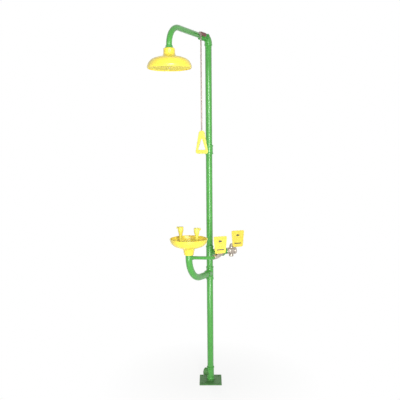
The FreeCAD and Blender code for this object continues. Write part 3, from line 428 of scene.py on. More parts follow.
# %% Build a finish from noise
def finish(name, dark, light, roughness, grain, relief, mottle=6.0, stretch=(1, 1, 1), **sockets):
    """A Principled material. dark and light are the ends of its slow colour change, roughness is a pair,
    grain is the fine relief's scale per metre and relief its height in metres."""
    material = bpy.data.materials.new(name)
    material.use_nodes = True
    tree = material.node_tree
    shader = tree.nodes["Principled BSDF"].inputs
    place = add(tree, "Mapping", Vector=add(tree, "TexCoord")["Object"], Scale=stretch)[0]
    slow = add(tree, "TexNoise", Vector=place, Scale=mottle, Detail=4.0, Roughness=0.6)["Fac"]
    tone = add(tree, "ValToRGB", Fac=slow)[0]
    for stop, position, colour in zip(tone.node.color_ramp.elements, (0.3, 0.7), (dark, light)):
        stop.position, stop.color = position, (*colour, 1)
    fine = add(tree, "TexNoise", Vector=place, Scale=grain, Detail=3.0, Roughness=0.55)["Fac"]
    gloss = ramp(tree, fine, 0.3, 0.7, *roughness)
    bump = add(tree, "Bump", Height=fine, Strength=1.0, Distance=relief)[0]
    for key, socket in (("Base Color", tone), ("Roughness", gloss), ("Normal", bump)):
        tree.links.new(socket, shader[key])
    for key, value in sockets.items():
        shader[key.replace("_", " ")].default_value = value
    return material


# %% The finishes of the record's slots
FINISHES = {
    "green": finish("powder_green", (0.046, 0.29, 0.03), (0.059, 0.332, 0.042), (0.34, 0.42), 420, 3e-5,
        Specular_IOR_Level=0.15, Coat_Weight=1.0, Coat_Roughness=0.26, Coat_IOR=1.58),
    "fitting_green": finish("cast_green", (0.04, 0.29, 0.035), (0.06, 0.36, 0.052), (0.32, 0.48), 520,
        1.6e-4, mottle=20, Specular_IOR_Level=0.4),
    "base_green": finish("base_green", (0.054, 0.16, 0.042), (0.08, 0.21, 0.062), (0.45, 0.6), 300, 6e-5,
        mottle=25, Specular_IOR_Level=0.3, Coat_Weight=0.12, Coat_Roughness=0.18),
    "stainless": finish("brushed_stainless", (0.43, 0.375, 0.32), (0.53, 0.465, 0.405), (0.2, 0.34), 700,
        1e-5, Metallic=1.0, mottle=60, stretch=(1, 1, 0.3)),
    "ball_chrome": finish("polished_ball", (0.72, 0.72, 0.72), (0.8, 0.8, 0.8), (0.06, 0.12), 300, 5e-6,
        Metallic=1.0),
    "steel_inner": finish("plain_steel", (0.42, 0.42, 0.41), (0.55, 0.55, 0.54), (0.4, 0.55), 400, 3e-5,
        Metallic=1.0),
    "maroon_sleeve": finish("maroon_vinyl", (0.13, 0.04, 0.036), (0.2, 0.068, 0.06), (0.42, 0.6), 600,
        1e-4, mottle=60),
    "plate_yellow": finish("plate_yellow", (0.72, 0.56, 0.06), (0.78, 0.62, 0.085), (0.32, 0.45), 500, 2e-5),
    "yellow": finish("abs_yellow", (0.9, 0.69, 0.042), (0.95, 0.75, 0.066), (0.3, 0.4), 800, 8e-6,
        Coat_Weight=0.6, Coat_Roughness=0.3),
    "white_seat": finish("seat_white", (0.8, 0.8, 0.78), (0.9, 0.9, 0.88), (0.4, 0.5), 500, 3e-5),
    "grey_plastic": finish("grey_plastic", (0.3, 0.31, 0.32), (0.4, 0.41, 0.42), (0.4, 0.55), 700, 3e-5),
    "black_rubber": finish("black_rubber", (0.02, 0.02, 0.02), (0.04, 0.04, 0.04), (0.6, 0.8), 700, 1e-4)}
SLOT = {part["node"]: part["material_slot"] for part in frame["record"]["subparts"]}
for name, node in nodes.items():
    node.data.materials.clear()
    node.data.materials.append(FINISHES[SLOT[name]])
print(len(FINISHES), "finishes on", len(nodes), "nodes")

# %% Finishes of single pieces
ROD_STEEL = finish("drawn_rod", (0.23, 0.18, 0.158), (0.29, 0.228, 0.2), (0.3, 0.42), 900, 4e-6,
    Metallic=1.0, mottle=8, stretch=(1, 1, 0.05))
# The rose is a paler, whiter yellow than the bell: painted light for its bright underside and its glint.
ROSE_PAINTED_LIGHT_YELLOW = finish("rose_yellow_painted_light", (0.92, 0.78, 0.13), (0.96, 0.84, 0.18), (0.6, 0.75), 600, 8e-6,
    Specular_IOR_Level=0.1)
PALE_YELLOW = finish("pale_yellow", (0.76, 0.67, 0.09), (0.82, 0.73, 0.13), (0.28, 0.4), 800, 8e-6)
INK = finish("dark_ink", (0.03, 0.035, 0.03), (0.06, 0.065, 0.055), (0.4, 0.5), 900, 1e-5)
POWDER_GREEN, BASE_GREEN = FINISHES["green"], FINISHES["base_green"]
print("four more finishes")

# %% [markdown]
# ## Pipes
# Post, arm and drain are steel pipe under green powder coat. A straight pipe is a rectangle turned round
# its axis, with its sawn edges lightly broken, and a bent one is a circle carried along a line.

# %% Post pipes
POST_R, POST_BORE = 21.2, 18.0
INCH_R, INCH_BORE = 16.7, 13.6
HALF_R, HALF_BORE = 10.65, 8.0
PLAY = 0.05  # between a pipe and its socket
POST_HOLE, INCH_HOLE, HALF_HOLE = POST_R + PLAY, INCH_R + PLAY, HALF_R + PLAY
for name in ("base_nipple", "lower_post", "mid_nipple", "middle_post", "upper_post"):
    low, high = reach(name)
    piece(name + "_pipe", [turned(tube(POST_R, POST_BORE, low[2], high[2]))], name)

# %% Shower arm and the drain's line
HEAD_AT = np.array([0, middle("rose_plate")[1], reach("head_shell")[0][2]])
BOWL_AT = np.array([0, middle("bowl")[1], reach("bowl")[1][2]])
ARM_BEND = 108
low, high = reach("shower_arm")
line = bent((0, high[1], ARM_Z), (0, HEAD_AT[1], ARM_Z), (0, HEAD_AT[1], low[2]), ARM_BEND)
piece("shower_arm_pipe", [bent_tube(line, INCH_R, INCH_BORE)], "shower_arm")
DRAIN_Z, DRAIN_CLIMB, KNEE_Y = middle("drain_tee")[2], 14.0, -75
KNEE_BEND, DRAIN_BEND = 200, 155
drain_start, drain_end = reach("drain_pipe")[1][1:]
knee, corner = np.array([0, KNEE_Y, DRAIN_Z]), np.array([0, BOWL_AT[1], DRAIN_Z + DRAIN_CLIMB])
between = knee * 0.85 + corner * 0.15
drain_line = [np.vstack([one[:-1], two[1:]]) for one, two in zip(
    bent((0, drain_start, DRAIN_Z), knee, between, KNEE_BEND, 8),
    bent(between, corner, (0, BOWL_AT[1], drain_end), DRAIN_BEND))]
print("head at", HEAD_AT.round(1), "bowl rim at", BOWL_AT.round(1), "drain at", round(DRAIN_Z, 1))

# %% [markdown]
# ## Cast fittings
# Tees, elbows and the coupling are malleable iron: a plain body, a raised band at each mouth and soft
# corners. Where a branch leaves the run, a skirt curves up into it, widest in the crotch and gone at the
# sides, where both surfaces have the same direction.


# %% Profiles of mouths and the branch's skirt
def mouth(body_r, band_r, band, tip, hole, bore, depth, slope=2.5):
    """Corners from the body over the band at a mouth, and back down its socket to the bore."""
    return np.array([(body_r, tip - band - slope), (band_r, tip - band), (band_r, tip), (hole, tip),
        (hole, tip - depth), (bore, tip - depth)], float)


def banded(corners):
    """Closed profile of a run with a mouth at both ends, from the low end's tip."""
    low = corners * (1, -1)
    return soft(np.vstack([low[2::-1], corners, low[:2:-1]]), [1.6] * 6 + [0.4] * 6, ring=True)


def limb(corners):
    """Open profile of a branch that ends a little way down its bore."""
    return soft([*corners, corners[-1] - (0, 2)], [0, 1.6, 1.6, 0.4, 0.4, 0.4, 0])


def branch(at, run_axis, out, run_r, profile, fillet, count=72):
    """Point = place + out x h + r x (cos a x run axis + sin a x side). The run's surface lies at
    h = root of (run radius squared - (r sin a) squared). The skirt starts on it at r = body + f, where
    f = fillet x cos a squared, and bends over the line where the two bodies meet to f above that line."""
    run_axis, out = unit(run_axis), unit(out)
    side = np.cross(out, run_axis)
    angle = circle(count)
    cosine, sine = np.cos(angle), np.sin(angle)
    body_r, bore = profile[0][0], profile[-1][0]

    def surface(radius):
        return np.sqrt(np.maximum(run_r ** 2 - (radius * sine) ** 2, 0))

    f = fillet * cosine ** 2
    t = np.linspace(0, 1, 7)[:, None]
    knee = surface(body_r)
    skirt_r = (1 - t) ** 2 * (body_r + f) + (1 - (1 - t) ** 2) * body_r
    skirt_h = (1 - t) ** 2 * (surface(body_r + f) - 0.1) + 2 * t * (1 - t) * knee + t ** 2 * (knee + f)
    radius = np.vstack([skirt_r, np.repeat(profile[:, :1], count, 1), np.full((1, count), bore)])
    height = np.vstack([skirt_h, np.repeat(profile[:, 1:], count, 1), surface(bore)[None] - 2.5])
    spoke = cosine[:, None] * run_axis + sine[:, None] * side
    return at + height[..., None] * out + radius[..., None] * spoke


def bore_out(made, at, out, radius, length):
    """Drills a hole with a Boolean and keeps the result as the piece's mesh."""
    drill = turned([(0, 0), (radius, 0), (radius, length), (0, length)], at, out, 72)
    tool = stand("drill", mesh_of("drill", [drill]))
    cut = made.modifiers.new("bore", "BOOLEAN")
    cut.object, cut.operation, cut.solver = tool, "DIFFERENCE", "EXACT"
    bpy.context.view_layer.update()
    result = bpy.data.meshes.new_from_object(made.evaluated_get(bpy.context.evaluated_depsgraph_get()))
    made.modifiers.remove(cut)
    made.data = result
    bpy.data.objects.remove(tool)
    finish_mesh(result)


# %% Tees on the post
POST_BODY, POST_BAND, TEE_HALF, SOCKET = 23.8, 25.6, 44.0, 17.0
INCH_BODY, INCH_BAND, INCH_SOCKET = 19.6, 21.5, 14
post_mouth = mouth(POST_BODY, POST_BAND, 9, TEE_HALF, POST_HOLE, POST_BORE, SOCKET)
post_limb = limb(post_mouth)
inch_limb = limb(mouth(INCH_BODY, INCH_BAND, 8, 42, INCH_HOLE, INCH_BORE, INCH_SOCKET))
for name, out, profile, fillet, paint in (
        ("bottom_tee", -X, post_limb, 6.5, BASE_GREEN),  # the waste outlet, in the base plate's darker green: painted shade for the post's shadow
        ("drain_tee", -Y, post_limb, 6.5, POWDER_GREEN),
        ("supply_tee", ALONG, inch_limb, 5, POWDER_GREEN)):
    centre = np.array([0, 0, reach(name)[0][2] + TEE_HALF])
    run = piece(name + "_casting", [turned(banded(post_mouth), centre)], name, material=POWDER_GREEN)
    if name == "bottom_tee":
        bore_out(run, centre, out, POST_BORE, 60)
    side_limb = branch(centre, Z, out, POST_BODY, profile, fillet)
    piece(name + "_branch", [side_limb], name, material=paint, stands_for=())

# %% Reducing tee on the supply line
HALF_BODY, HALF_BAND, HALF_SOCKET = 13.2, 15, 12
REDUCER_AT = ALONG * 81 + Z * SUPPLY_Z
run = banded(mouth(INCH_BODY, INCH_BAND, 8, 33, INCH_HOLE, INCH_BORE, INCH_SOCKET))
half_limb = limb(mouth(HALF_BODY, HALF_BAND, 6, 30, HALF_HOLE, HALF_BORE, HALF_SOCKET, 1.5))
piece("reducing_tee_casting", [turned(run, REDUCER_AT, ALONG),
    branch(REDUCER_AT, ALONG, ASIDE, INCH_BODY, half_limb, 2.2)], "reducing_tee")

# %% Coupling with ribs
COUPLING_R, COUPLING_BAND = 25.0, 27.5


def ribs(angle, height):
    """Four low ribs between the bands: a high power of a cosine round the axis, faded at the bands."""
    room = np.clip((21 - np.abs(height)) / 3, 0, 1)
    return 1.8 * room * np.maximum(np.cos(2 * angle), 0) ** 30


outer = soft([(COUPLING_BAND, -30), (COUPLING_BAND, -21), (COUPLING_R, -18.5), (COUPLING_R, 18.5),
    (COUPLING_BAND, 21), (COUPLING_BAND, 30)], 1.6)
waist = np.stack([np.full(9, COUPLING_R), np.linspace(-16, 16, 9)], -1)
split = np.searchsorted(outer[:, 1], 0)
coupling = np.vstack([outer[:split], waist, outer[split:], [(POST_HOLE, 30), (POST_HOLE, -30)]])
piece("post_coupling_casting", [turned(coupling, middle("post_coupling") * (0, 0, 1), swell=ribs)],
    "post_coupling")


# %% Elbows
def elbow(name, line, outside, inside):
    """Carries the outside profile forwards along the line and the inside profile back."""
    grid = np.vstack([carried(line, outside, 64), carried(line, inside, 64)[::-1]])
    piece(name + "_casting", [grid], name)


FRONT, SPIGOT = -40.0, 19  # where the top elbow's front mouth lies, and how long its spigot is
spigot_end = SHOWER_VALVE[1] + SPIGOT
line = bent((0, 0, ARM_Z - TEE_HALF), (0, 0, ARM_Z), (0, spigot_end, ARM_Z), 31)
face = line_length(line) - (FRONT - spigot_end)
outside = soft([(0, POST_BAND), (9, POST_BAND), (11.5, POST_BODY), (face - 22, POST_BODY),
    (face - 10.5, 20.6), (face - 8, 22), (face, 22), (face + 0.05, INCH_R), (face + SPIGOT, INCH_R)], 1.6)
elbow("top_elbow", line, outside, [(0, POST_HOLE), (SOCKET, POST_HOLE), (SOCKET + 0.05, INCH_BORE),
    (face + SPIGOT, INCH_BORE)])

EYEWASH_CORNER = REDUCER_AT + ASIDE * 58
line = bent(EYEWASH_CORNER - ASIDE * 40, EYEWASH_CORNER, EYEWASH_CORNER - Y * 22, 45.87, 12)
total = line_length(line)
outside = soft([(0, HALF_R), (18, HALF_R), (18.05, HALF_BAND), (24, HALF_BAND), (25.5, HALF_BODY),
    (total - 7.5, HALF_BODY), (total - 6, HALF_BAND), (total, HALF_BAND)], 1.0)
elbow("eyewash_elbow", line, outside, [(0, HALF_BORE), (total - HALF_SOCKET - 0.05, HALF_BORE),
    (total - HALF_SOCKET, HALF_HOLE), (total, HALF_HOLE)])

# %% [markdown]
# ## Threads, boss and weld
# Short threaded nipples show between the fittings. The drain pipe carries a welded boss, and the post
# stands on a welded bead, whose ripples lean the way the torch went round.


# %% Nipples
INCH_PITCH, HALF_PITCH = 2.309, 1.814


def threaded(start, end, outer, bore, rows, at, axis, pitch, depth, count=48):
    """A pipe with a thread from start to end along the axis. The radius grows by a triangle wave of
    height over pitch less angle over a turn."""
    run = np.stack([np.full(rows, outer), np.linspace(start, end, rows)], -1)
    return turned(np.vstack([run, [(bore, end), (bore, start)]]), at, axis, count, lambda angle, height:
        depth * (2 * np.abs((height / pitch - angle / TURN) % 1 - 0.5) - 1))


nipples = [threaded(out - 14, out + 20, INCH_R, INCH_BORE, 90, Z * SUPPLY_Z, ALONG, INCH_PITCH, 0.7)
    for out in (42, 114)]
piece("supply_nipple_threads", nipples, "supply_nipples", sharp=60)
low, high = reach("eyewash_nipple")
nipple = threaded(low[1], high[1], HALF_R, HALF_BORE, 120, EYEWASH_CORNER * (1, 0, 1), Y, HALF_PITCH, 0.55)
piece("eyewash_nipple_threads", [nipple], "eyewash_nipple", sharp=60)

# %% Threads inside the two open sockets
waste_at = Z * (reach("bottom_tee")[0][2] + TEE_HALF)
for name, node, at, out, tip, radius in (
        ("waste_outlet", "bottom_tee", waste_at, -X, TEE_HALF, POST_HOLE),
        ("water_inlet", "supply_valve_end", SUPPLY_VALVE, ALONG, 33, INCH_HOLE)):
    ridges = threaded(tip - 13, tip - 1.2, radius, radius + 1.2, 50, at, out, INCH_PITCH, 0.75, 64)
    piece(name + "_threads", [ridges], node, stands_for=(), sharp=60)

# %% Drain pipe with its boss, and the eyewash pipe that enters it
TAIL_END = EYEWASH_VALVE[1] - 55  # the front of the eyewash valve
pipe_corner = np.array([EYEWASH_VALVE[0], TAIL_END - 15, SUPPLY_Z])
entry = np.array([0, BOWL_AT[1], SUPPLY_Z + 19])
outwards = unit(pipe_corner - entry)
print("the eyewash pipe enters at", entry.round(1))
boss = soft([(14, 25), (14, 27.2), (HALF_HOLE, 27.2), (HALF_HOLE, 22)], [0, 0.8, 0.4, 0])
piece("drain_pipe_bend", [bent_tube(drain_line, POST_R, POST_BORE),
    branch(entry, Z, outwards, POST_R, boss, 2.5)], "drain_pipe")
bend_r = 13.5 * math.tan(math.acos(Y @ -outwards) / 2)
line = bent((pipe_corner[0], TAIL_END + 12, SUPPLY_Z), pipe_corner, entry + outwards * 6.5, bend_r, 12)
piece("eyewash_pipe_bend", [bent_tube(line, HALF_R, HALF_BORE, 40)], "eyewash_pipe")


# %% Weld bead on the base plate
def bead(at, ring_r, size, ripples, count=672):
    """Point = place + (R + w cos v)(cos a, sin a) + w sin v up, where the bead's thickness w ripples
    with the angle a, and the ripple leans as it climbs the bead."""
    a, v = circle(count)[None, :, None], circle(14)[:, None, None]
    w = size * (1 + 0.09 * np.cos(ripples * a + 1.2 * np.sin(v)))
    spoke = np.cos(a) * X + np.sin(a) * Y
    return at + (ring_r + w * np.cos(v)) * spoke + w * np.sin(v) * Z


foot = Z * (reach("base_plate")[1][2] + 0.6)
piece("base_weld_bead", [bead(foot, POST_R + 0.4, 4.1, 42)], "base_plate", stands_for=(), sharp=80)

# %% [markdown]
# ## Shower head
# The head is a yellow moulding like a bell: a neck over the arm's end, a shoulder that swells out and a rim
# that rolls in under itself. One flowing line makes the outside, and another the inside. The ferrule is the
# green cone over the joint, and the rose is the frame's own drilled plate with its hole edges broken.

# %% Bell and ferrule
bell_out = flowing([(33.6, 82), (37.0, 74.5), (44, 69.5), (55, 66.0), (75, 61.4), (95, 53.8), (110, 43.5),
    (120, 30), (125.6, 15), (126.6, 9.5), (124.6, 2.6)], 7)
neck = soft([(30.2, 112), (32.6, 110.5), (32.6, 98), (32.9, 88), (33.6, 82)], [0, 1.5, 6, 6, 0])
bell_in = flowing([(121.2, 2.2), (123, 9), (122, 13.4), (116.8, 28), (107, 40.3), (92.5, 50.2), (72, 57),
    (51, 60.3), (31, 60)], 7)
inside = [(12, 60), (12, 85), (INCH_HOLE, 85), (INCH_HOLE, 112)]
rolled_edge = soft([(124.6, 2.6), (123.4, 0.0), (121.6, 0.2), (121.2, 2.2)], [0, 1, 1, 0])
bell = np.vstack([neck, bell_out[1:], rolled_edge[1:], bell_in[1:], inside])
piece("shower_head_bell", [turned(bell, HEAD_AT, count=128)], "head_shell", sharp=50)
cone = soft([(INCH_HOLE, 112), (24, 112), (24, 116.5), (21.2, 119.5), (19.2, 129.6), (INCH_HOLE, 130)],
    [0.3, 1.4, 1.6, 2.2, 1.2, 0.3], ring=True)
piece("arm_ferrule_cone", [turned(cone, HEAD_AT)], "arm_ferrule", material=POWDER_GREEN)


# %% Drilled plates
CREASE = 35  # degrees: an edge that turns by more gets a bevel


def softened(node, name, width, segments=2, body="frame", material=None):
    """A merged copy of a node with its sharp edges bevelled. It stands for the node."""
    mesh = nodes[node].data.copy()
    finish_mesh(mesh, CREASE, joined=0.4)
    made = stand(name, mesh)
    bevel = made.modifiers.new("soft edges", "BEVEL")
    bevel.width, bevel.segments = width * MM, segments
    bevel.limit_method, bevel.angle_limit = "ANGLE", math.radians(CREASE)
    bevel.harden_normals = True
    hang(made, node, body, material)


# The rose's paler yellow is painted light for its bright underside.
softened("rose_plate", "rose_drilled_plate", 0.35, material=ROSE_PAINTED_LIGHT_YELLOW)
softened("bowl_strainer", "bowl_strainer_disc", 0.3)
softened("spray_discs", "spray_drilled_discs", 0.2)
softened("rose_screw", "rose_screw_head", 0.5)

# %% [markdown]
# ## Bowl
# The bowl is the same kind of moulding: a shallow dish with a flat floor and a neck that narrows down over
# the drain pipe. Its lip is a round bead, because a thin bare edge would cut a hand that leans on it.

# %% Dish and neck
dish_out = flowing([(116.9, -4.6), (112.3, -22), (104, -34), (92.5, -43.8), (78, -51), (61, -56.5),
    (48, -60.5), (39.5, -65.5), (34.6, -73)], 7)
neck_out = soft([(34.6, -73), (31.8, -86), (29.5, -100), (29.2, -103), (POST_HOLE, -103)], [0, 8, 2, 1.2, 0])
neck_in = [(POST_HOLE, -78), (18, -78), (18, -55.5), (20, -54), (40, -54)]
dish_in = flowing([(40, -54), (60.5, -51), (78, -45.5), (89.8, -39.5), (101, -30.5), (109, -20),
    (113.4, -4.6)], 7)
LIP_AT, LIP_R = (115.5, -3.0), 3.0
angle = np.linspace(-0.35, np.pi + 0.35, 15)
lip = LIP_AT + LIP_R * np.stack([-np.cos(angle), np.sin(angle)], -1)
dish = np.vstack([dish_out, neck_out[1:], neck_in, dish_in[1:], lip])
piece("eyewash_bowl_dish", [turned(dish, BOWL_AT, count=128)], "bowl", sharp=50)

# %% [markdown]
# ## Manifold, nozzles and dust caps
# In the bowl a domed hub splits the water into two arms, and each turns up into a flared nozzle with two
# small ears and a pin. A dust cap turns on that pin: the water throws it open. The cap rides on its own
# body, with its knuckle and its strap.

# %% Hub and arms
SPREAD, NOZZLE_LOW, HUB_R = 57.0, 22.0, 15
hub_at = BOWL_AT * (0, 1, 0) + Z * (reach("bowl_strainer")[0][2] + 28)
hub = soft([(9.05, -24), (HUB_R, -24), (HUB_R, 10), (12.5, 14.5), (5, 16)], [0, 1.2, 3, 3, 0])
grids = [turned(np.vstack([[(0, -20), (9.05, -20)], hub, [(0, 16)]]), hub_at)]
for out in (-X, X):
    knee = hub_at + out * SPREAD
    line = bent(hub_at + out * 8, knee, knee + Z * (NOZZLE_LOW + 12), 12.5, 16)
    root = branch(hub_at, Z, out, HUB_R, np.array([(8.5, 17.5), (8.5, 19), (8.2, 19)]), 2.0, 48)
    grids += [bent_tube(line, 8.5, 6.0, 40), root]
piece("nozzle_manifold_arms", grids, "nozzle_manifold", material=PALE_YELLOW)

# %% Nozzles
TOP, TOP_R = NOZZLE_LOW + 69, 17.5
PIN_OUT, PIN_UP, EAR_Y = 22.0, 1.4, 6.5  # the pin from the nozzle's axis and top, the ears from its middle
cup_out = np.vstack([soft([(8.55, 22), (11, 22), (11, 44)], [0, 1, 0]),
    flowing([(11, 44), (12.3, 53), (15.4, 64), (17.2, 74)], 6)[1:],
    soft([(17.2, 74), (TOP_R, 76), (TOP_R, TOP), (TOP_R - 2, TOP)], [0, 1, 0.9, 0])[1:]])
cup_in = [(TOP_R - 2, TOP - 5), (13.5, TOP - 5), (6.05, 46), (6.05, 34), (8.55, 34)]


def ear(at, out):
    """A hinge ear: an upright slab whose top is round about the pin. Its outline, a capsule, is carried
    across the slab and closed by a pole in the middle of each face."""
    a, half, foot = circle(40), 3.0, 6.6
    outline = np.stack([np.cos(a) * half, np.sin(a) * half + np.where(np.sin(a) > 0, 0, -foot)], -1)
    rows = []
    for inset, across in ((half, -1.5), (0.4, -1.5), (0.0, -1.1), (0.0, 1.1), (0.4, 1.5), (half, 1.5)):
        share = 1 - inset / half
        ring = outline * share + np.array([0, -foot / 2]) * (1 - share)
        rows.append(at + ring[:, :1] * out + ring[:, 1:] * Z + across * Y)
    return np.stack(rows)


SIDES = ((-X, "left"), (X, "right"))
for out, side in SIDES:
    centre = hub_at + out * SPREAD
    pin_at = centre + out * PIN_OUT + Z * (TOP + PIN_UP)
    ears = [pin_at + Y * y for y in (-EAR_Y, EAR_Y)]
    struts = [bar(at + out * (15.8 - PIN_OUT) - Z * 5.5, at - Z * 5.5, 1.5) for at in ears]
    grids = [turned(np.vstack([cup_out, cup_in]), centre), *(ear(at, out) for at in ears),
        bar(pin_at - Y * 8.6, pin_at + Y * 8.6, 1.5), *struts]
    piece(f"nozzle_{side}_cup", grids, "nozzle_" + side, material=PALE_YELLOW)

# %% Dust caps
lid = np.vstack([[(0, 0.3)], soft([(14, 0.3), (18, 0.3), (18, 3.3), (12.6, 5.3), (6, 5.3)],
    [0, 0.5, 1.2, 3.0, 0]), [(0, 5.3)]])


def strap(centre, out, start, end, low, high, half):
    """A flat strap: a rounded rectangle of height low to high and half width half, carried outwards."""
    section = soft([(-half, low), (half, low), (half, high), (-half, high)], 0.5, 4, ring=True)
    core = np.array([0, (low + high) / 2])
    ring = core + (section - core) * np.array([0, 1, 1, 0])[:, None, None]
    station = np.array([start, start, end, end])[:, None, None]
    return centre + station * out + ring[..., :1] * Y + ring[..., 1:] * Z


for out, side in SIDES:
    centre = hub_at + out * SPREAD + Z * TOP
    knuckle = turned(tube(3.2, 1.56, -4.8, 4.8, 0.5), centre + out * PIN_OUT + Z * PIN_UP, Y, 32)
    grids = [turned(lid, centre), knuckle, strap(centre, out, 12.6, PIN_OUT - 2.2, 0.6, 3.3, 4.8)]
    cap = "dust_cap_" + side
    piece(cap + "_lid", grids, cap, cap + "_body", PALE_YELLOW)

# %% [markdown]
# ## Ball valves
# A valve is a cast body with a round barrel, an eight-sided mouth and a bonnet for the stem, and a six-sided
# end piece. A spanner's flats are the lathe's round cut down to a prism, so a nut is the smaller of two
# radii at each angle: the turned profile, chamfer and all, and the distance to the flat. The balls, seats
# and stems inside are the frame's own.


# %% Facets on a turned piece
def faceted(profile, at, axis, flats, corner, sides=6, count=72):
    """A turned piece cut down to a prism that has one of its corners towards corner."""
    grid = turned(profile, at, axis, count)
    first, second = sideways(axis)
    angle = circle(count) - math.atan2(corner @ second, corner @ first)
    limit = flats / 2 / np.cos((angle * sides / TURN % 1 - 0.5) * TURN / sides)
    height = ((grid - at) @ unit(axis))[..., None] * unit(axis)
    spoke = grid - at - height
    radius = np.linalg.norm(spoke, axis=-1, keepdims=True)
    return at + height + spoke * np.minimum(limit[None, :, None] / np.maximum(radius, 1e-6), 1)


def nut(flats, low, high, hole):
    """Closed profile of a chamfered nut: the chamfers are cones that only the corners reach."""
    tip, flat, chamfer = flats / math.sqrt(3), flats / 2 - 0.3, 1.1
    return [(hole, low), (flat, low), (tip, low + chamfer), (tip, high - chamfer), (flat, high), (hole, high)]


SIZES = dict(  # of a 1 inch and a 1/2 inch valve
    hole=(INCH_HOLE, HALF_HOLE), mouth=(21.5, 14.5), half=(33, 26), socket=(14, 12), port=(12.5, 7),
    barrel=(24, 16), split=(19.4, 12.8), bonnet=(13, 9.5), bonnet_top=(30, 20), stem=(6.06, 4.56),
    gland=(7, 6), lever=(37.5, 26.5), nut=(14, 11), nut_high=(6, 5), thread=(3.8, 2.85))
INCH, HALF = ({key: pair[k] for key, pair in SIZES.items()} for k in (0, 1))


def valve_body(v, at, along, stem, drain=False):
    """Grids of a body: mouth and barrel about the pipe's axis, bonnet and drain port as branches."""
    hole, wide, port, barrel, top = v["hole"], v["mouth"], v["port"], v["barrel"], v["bonnet_top"]
    back, split = -v["half"], v["split"]
    mouth_line = [(hole, back), (wide - 1, back), (wide, back + 1.2), (wide, -split - 1.5),
        (wide - 2.5, -split + 1), (port, -split + 1), (port, back + v["socket"]), (hole, back + v["socket"])]
    inner = barrel - 4.4
    barrel_line = soft([(port + 0.2, -split), (barrel - 2, -split), (barrel, -split + 5),
        (barrel, split - 2.5), (barrel - 1, split), (inner, split), (inner, -split + 2.2),
        (port + 0.2, -split + 2.2)], [0.3, 2.5, 3, 1, 0.8, 0.3, 0.3, 0.3], ring=True)
    bonnet = soft([(v["bonnet"], top - 2.5), (v["bonnet"], top), (v["stem"], top), (v["stem"], top - 3)],
        [0, 1, 0.3, 0])
    grids = [faceted(mouth_line, at, along, 1.86 * wide, stem, 8), turned(barrel_line, at, along, 72),
        branch(at, along, stem, barrel, bonnet, 1.2)]
    if drain:
        port_line = soft([(15, 30), (15, 38), (9, 38), (9, 26)], [0, 1.2, 0.6, 0])
        grids.append(branch(at, along, -stem, barrel, port_line, 2.5))
    return grids


def valve_end(v, at, along, stem, tail=0.0):
    """Grids of the end piece: a hexagon against the body, and a round tail if there is one."""
    hole, port, half, outer = v["hole"], v["port"], v["half"], v["mouth"] - 1
    flats = 2 * v["mouth"]
    hexagon = nut(flats, v["split"] + 0.3, half, port if tail else hole)
    grids = [faceted(hexagon, at, along, flats, stem)]
    if tail:
        tip = half + tail
        sleeve = soft([(port, half - 1), (outer, half - 1), (outer, tip), (hole, tip),
            (hole, tip - v["socket"]), (port, tip - v["socket"])], [0.2, 0.2, 1, 0.4, 0.2, 0.2], ring=True)
        grids.append(turned(sleeve, at, along))
    return grids


def valve_nuts(v, at, along, stem):
    """Grids of the gland nut, which stays, and of the nut that holds the lever, which turns."""
    flats, low = 1.75 * v["bonnet"], v["bonnet_top"]
    gland = nut(flats, low, low + v["gland"], v["stem"])
    bottom = v["lever"] + 4
    top = nut(v["nut"], bottom, bottom + v["nut_high"], v["thread"])
    return faceted(gland, at, stem, flats, along), faceted(top, at, stem, v["nut"], along)


# %% The three valves
for valve, v, at, along, stem, tail in (
        ("shower", INCH, SHOWER_VALVE, -Y, X, 0.0),
        ("supply", INCH, SUPPLY_VALVE, ALONG, Z, 0.0),
        ("eyewash", HALF, EYEWASH_VALVE, -Y, Z, 29.0)):
    name, lever = valve + "_valve", valve + "_lever"
    gland, top = valve_nuts(v, at, along, stem)
    piece(name + "_casting", valve_body(v, at, along, stem, valve == "supply"), name + "_body")
    piece(name + "_union", valve_end(v, at, along, stem, tail), name + "_end")
    # The shower's valve is painted with its gland nut in place.
    piece(name + "_gland", [gland], name + "_body" if valve == "shower" else "gland_nuts",
        stands_for=["gland_nuts"])
    piece(name + "_lever_nut", [top], lever + "_nut", lever + "_body")

# %% [markdown]
# ## Levers
# The levers are strip metal. The frame's own shapes are right, so each is copied, merged and given the
# narrow bevel that deburring leaves. The shower's lever wears a dipped vinyl sleeve that follows its taper
# and closes in at both ends. This lever was painted with its valve: it is green at the stem and bare steel
# at its eye, and one finish turns into the other where a noisy line crosses the strip.

# %% Strip levers
PAINT_ENDS = -0.142, -0.136  # metres along Y, where the paint thins out
OVERSPRAY = finish("oversprayed_strip", (0.4, 0.35, 0.31), (0.55, 0.5, 0.45), (0.24, 0.4), 700, 1e-5,
    Metallic=1.0, mottle=60)
tree = OVERSPRAY.node_tree
shader = tree.nodes["Principled BSDF"].inputs
along_y = add(tree, "SeparateXYZ", Vector=add(tree, "TexCoord")["Object"])["Y"]
ragged = add(tree, "TexNoise", Scale=180.0, Detail=4.0)["Fac"]
painted = ramp(tree, reckon(tree, "MULTIPLY_ADD", ragged, 0.02, along_y), *PAINT_ENDS)
bare = shader["Base Color"].links[0].from_socket
mixed = add(tree, "MixRGB", Fac=painted, Color1=bare, Color2=(0.045, 0.27, 0.05, 1))[0]
metal = ramp(tree, painted, 0.0, 1.0, 1.0, 0.0)
tree.links.new(mixed, shader["Base Color"])
tree.links.new(metal, shader["Metallic"])
for lever, material in (("shower_lever", OVERSPRAY), ("supply_lever", None), ("eyewash_lever", None)):
    softened(lever, lever + "_strip", 0.5, body=lever + "_body", material=material)


# %% Vinyl sleeve
def superellipse(power, count=48):
    """Unit outline whose x and y are cosine and sine raised to 2 over the power, with their signs kept."""
    a = circle(count)
    return np.stack([np.sign(v) * np.abs(v) ** (2 / power) for v in (np.cos(a), np.sin(a))], -1)


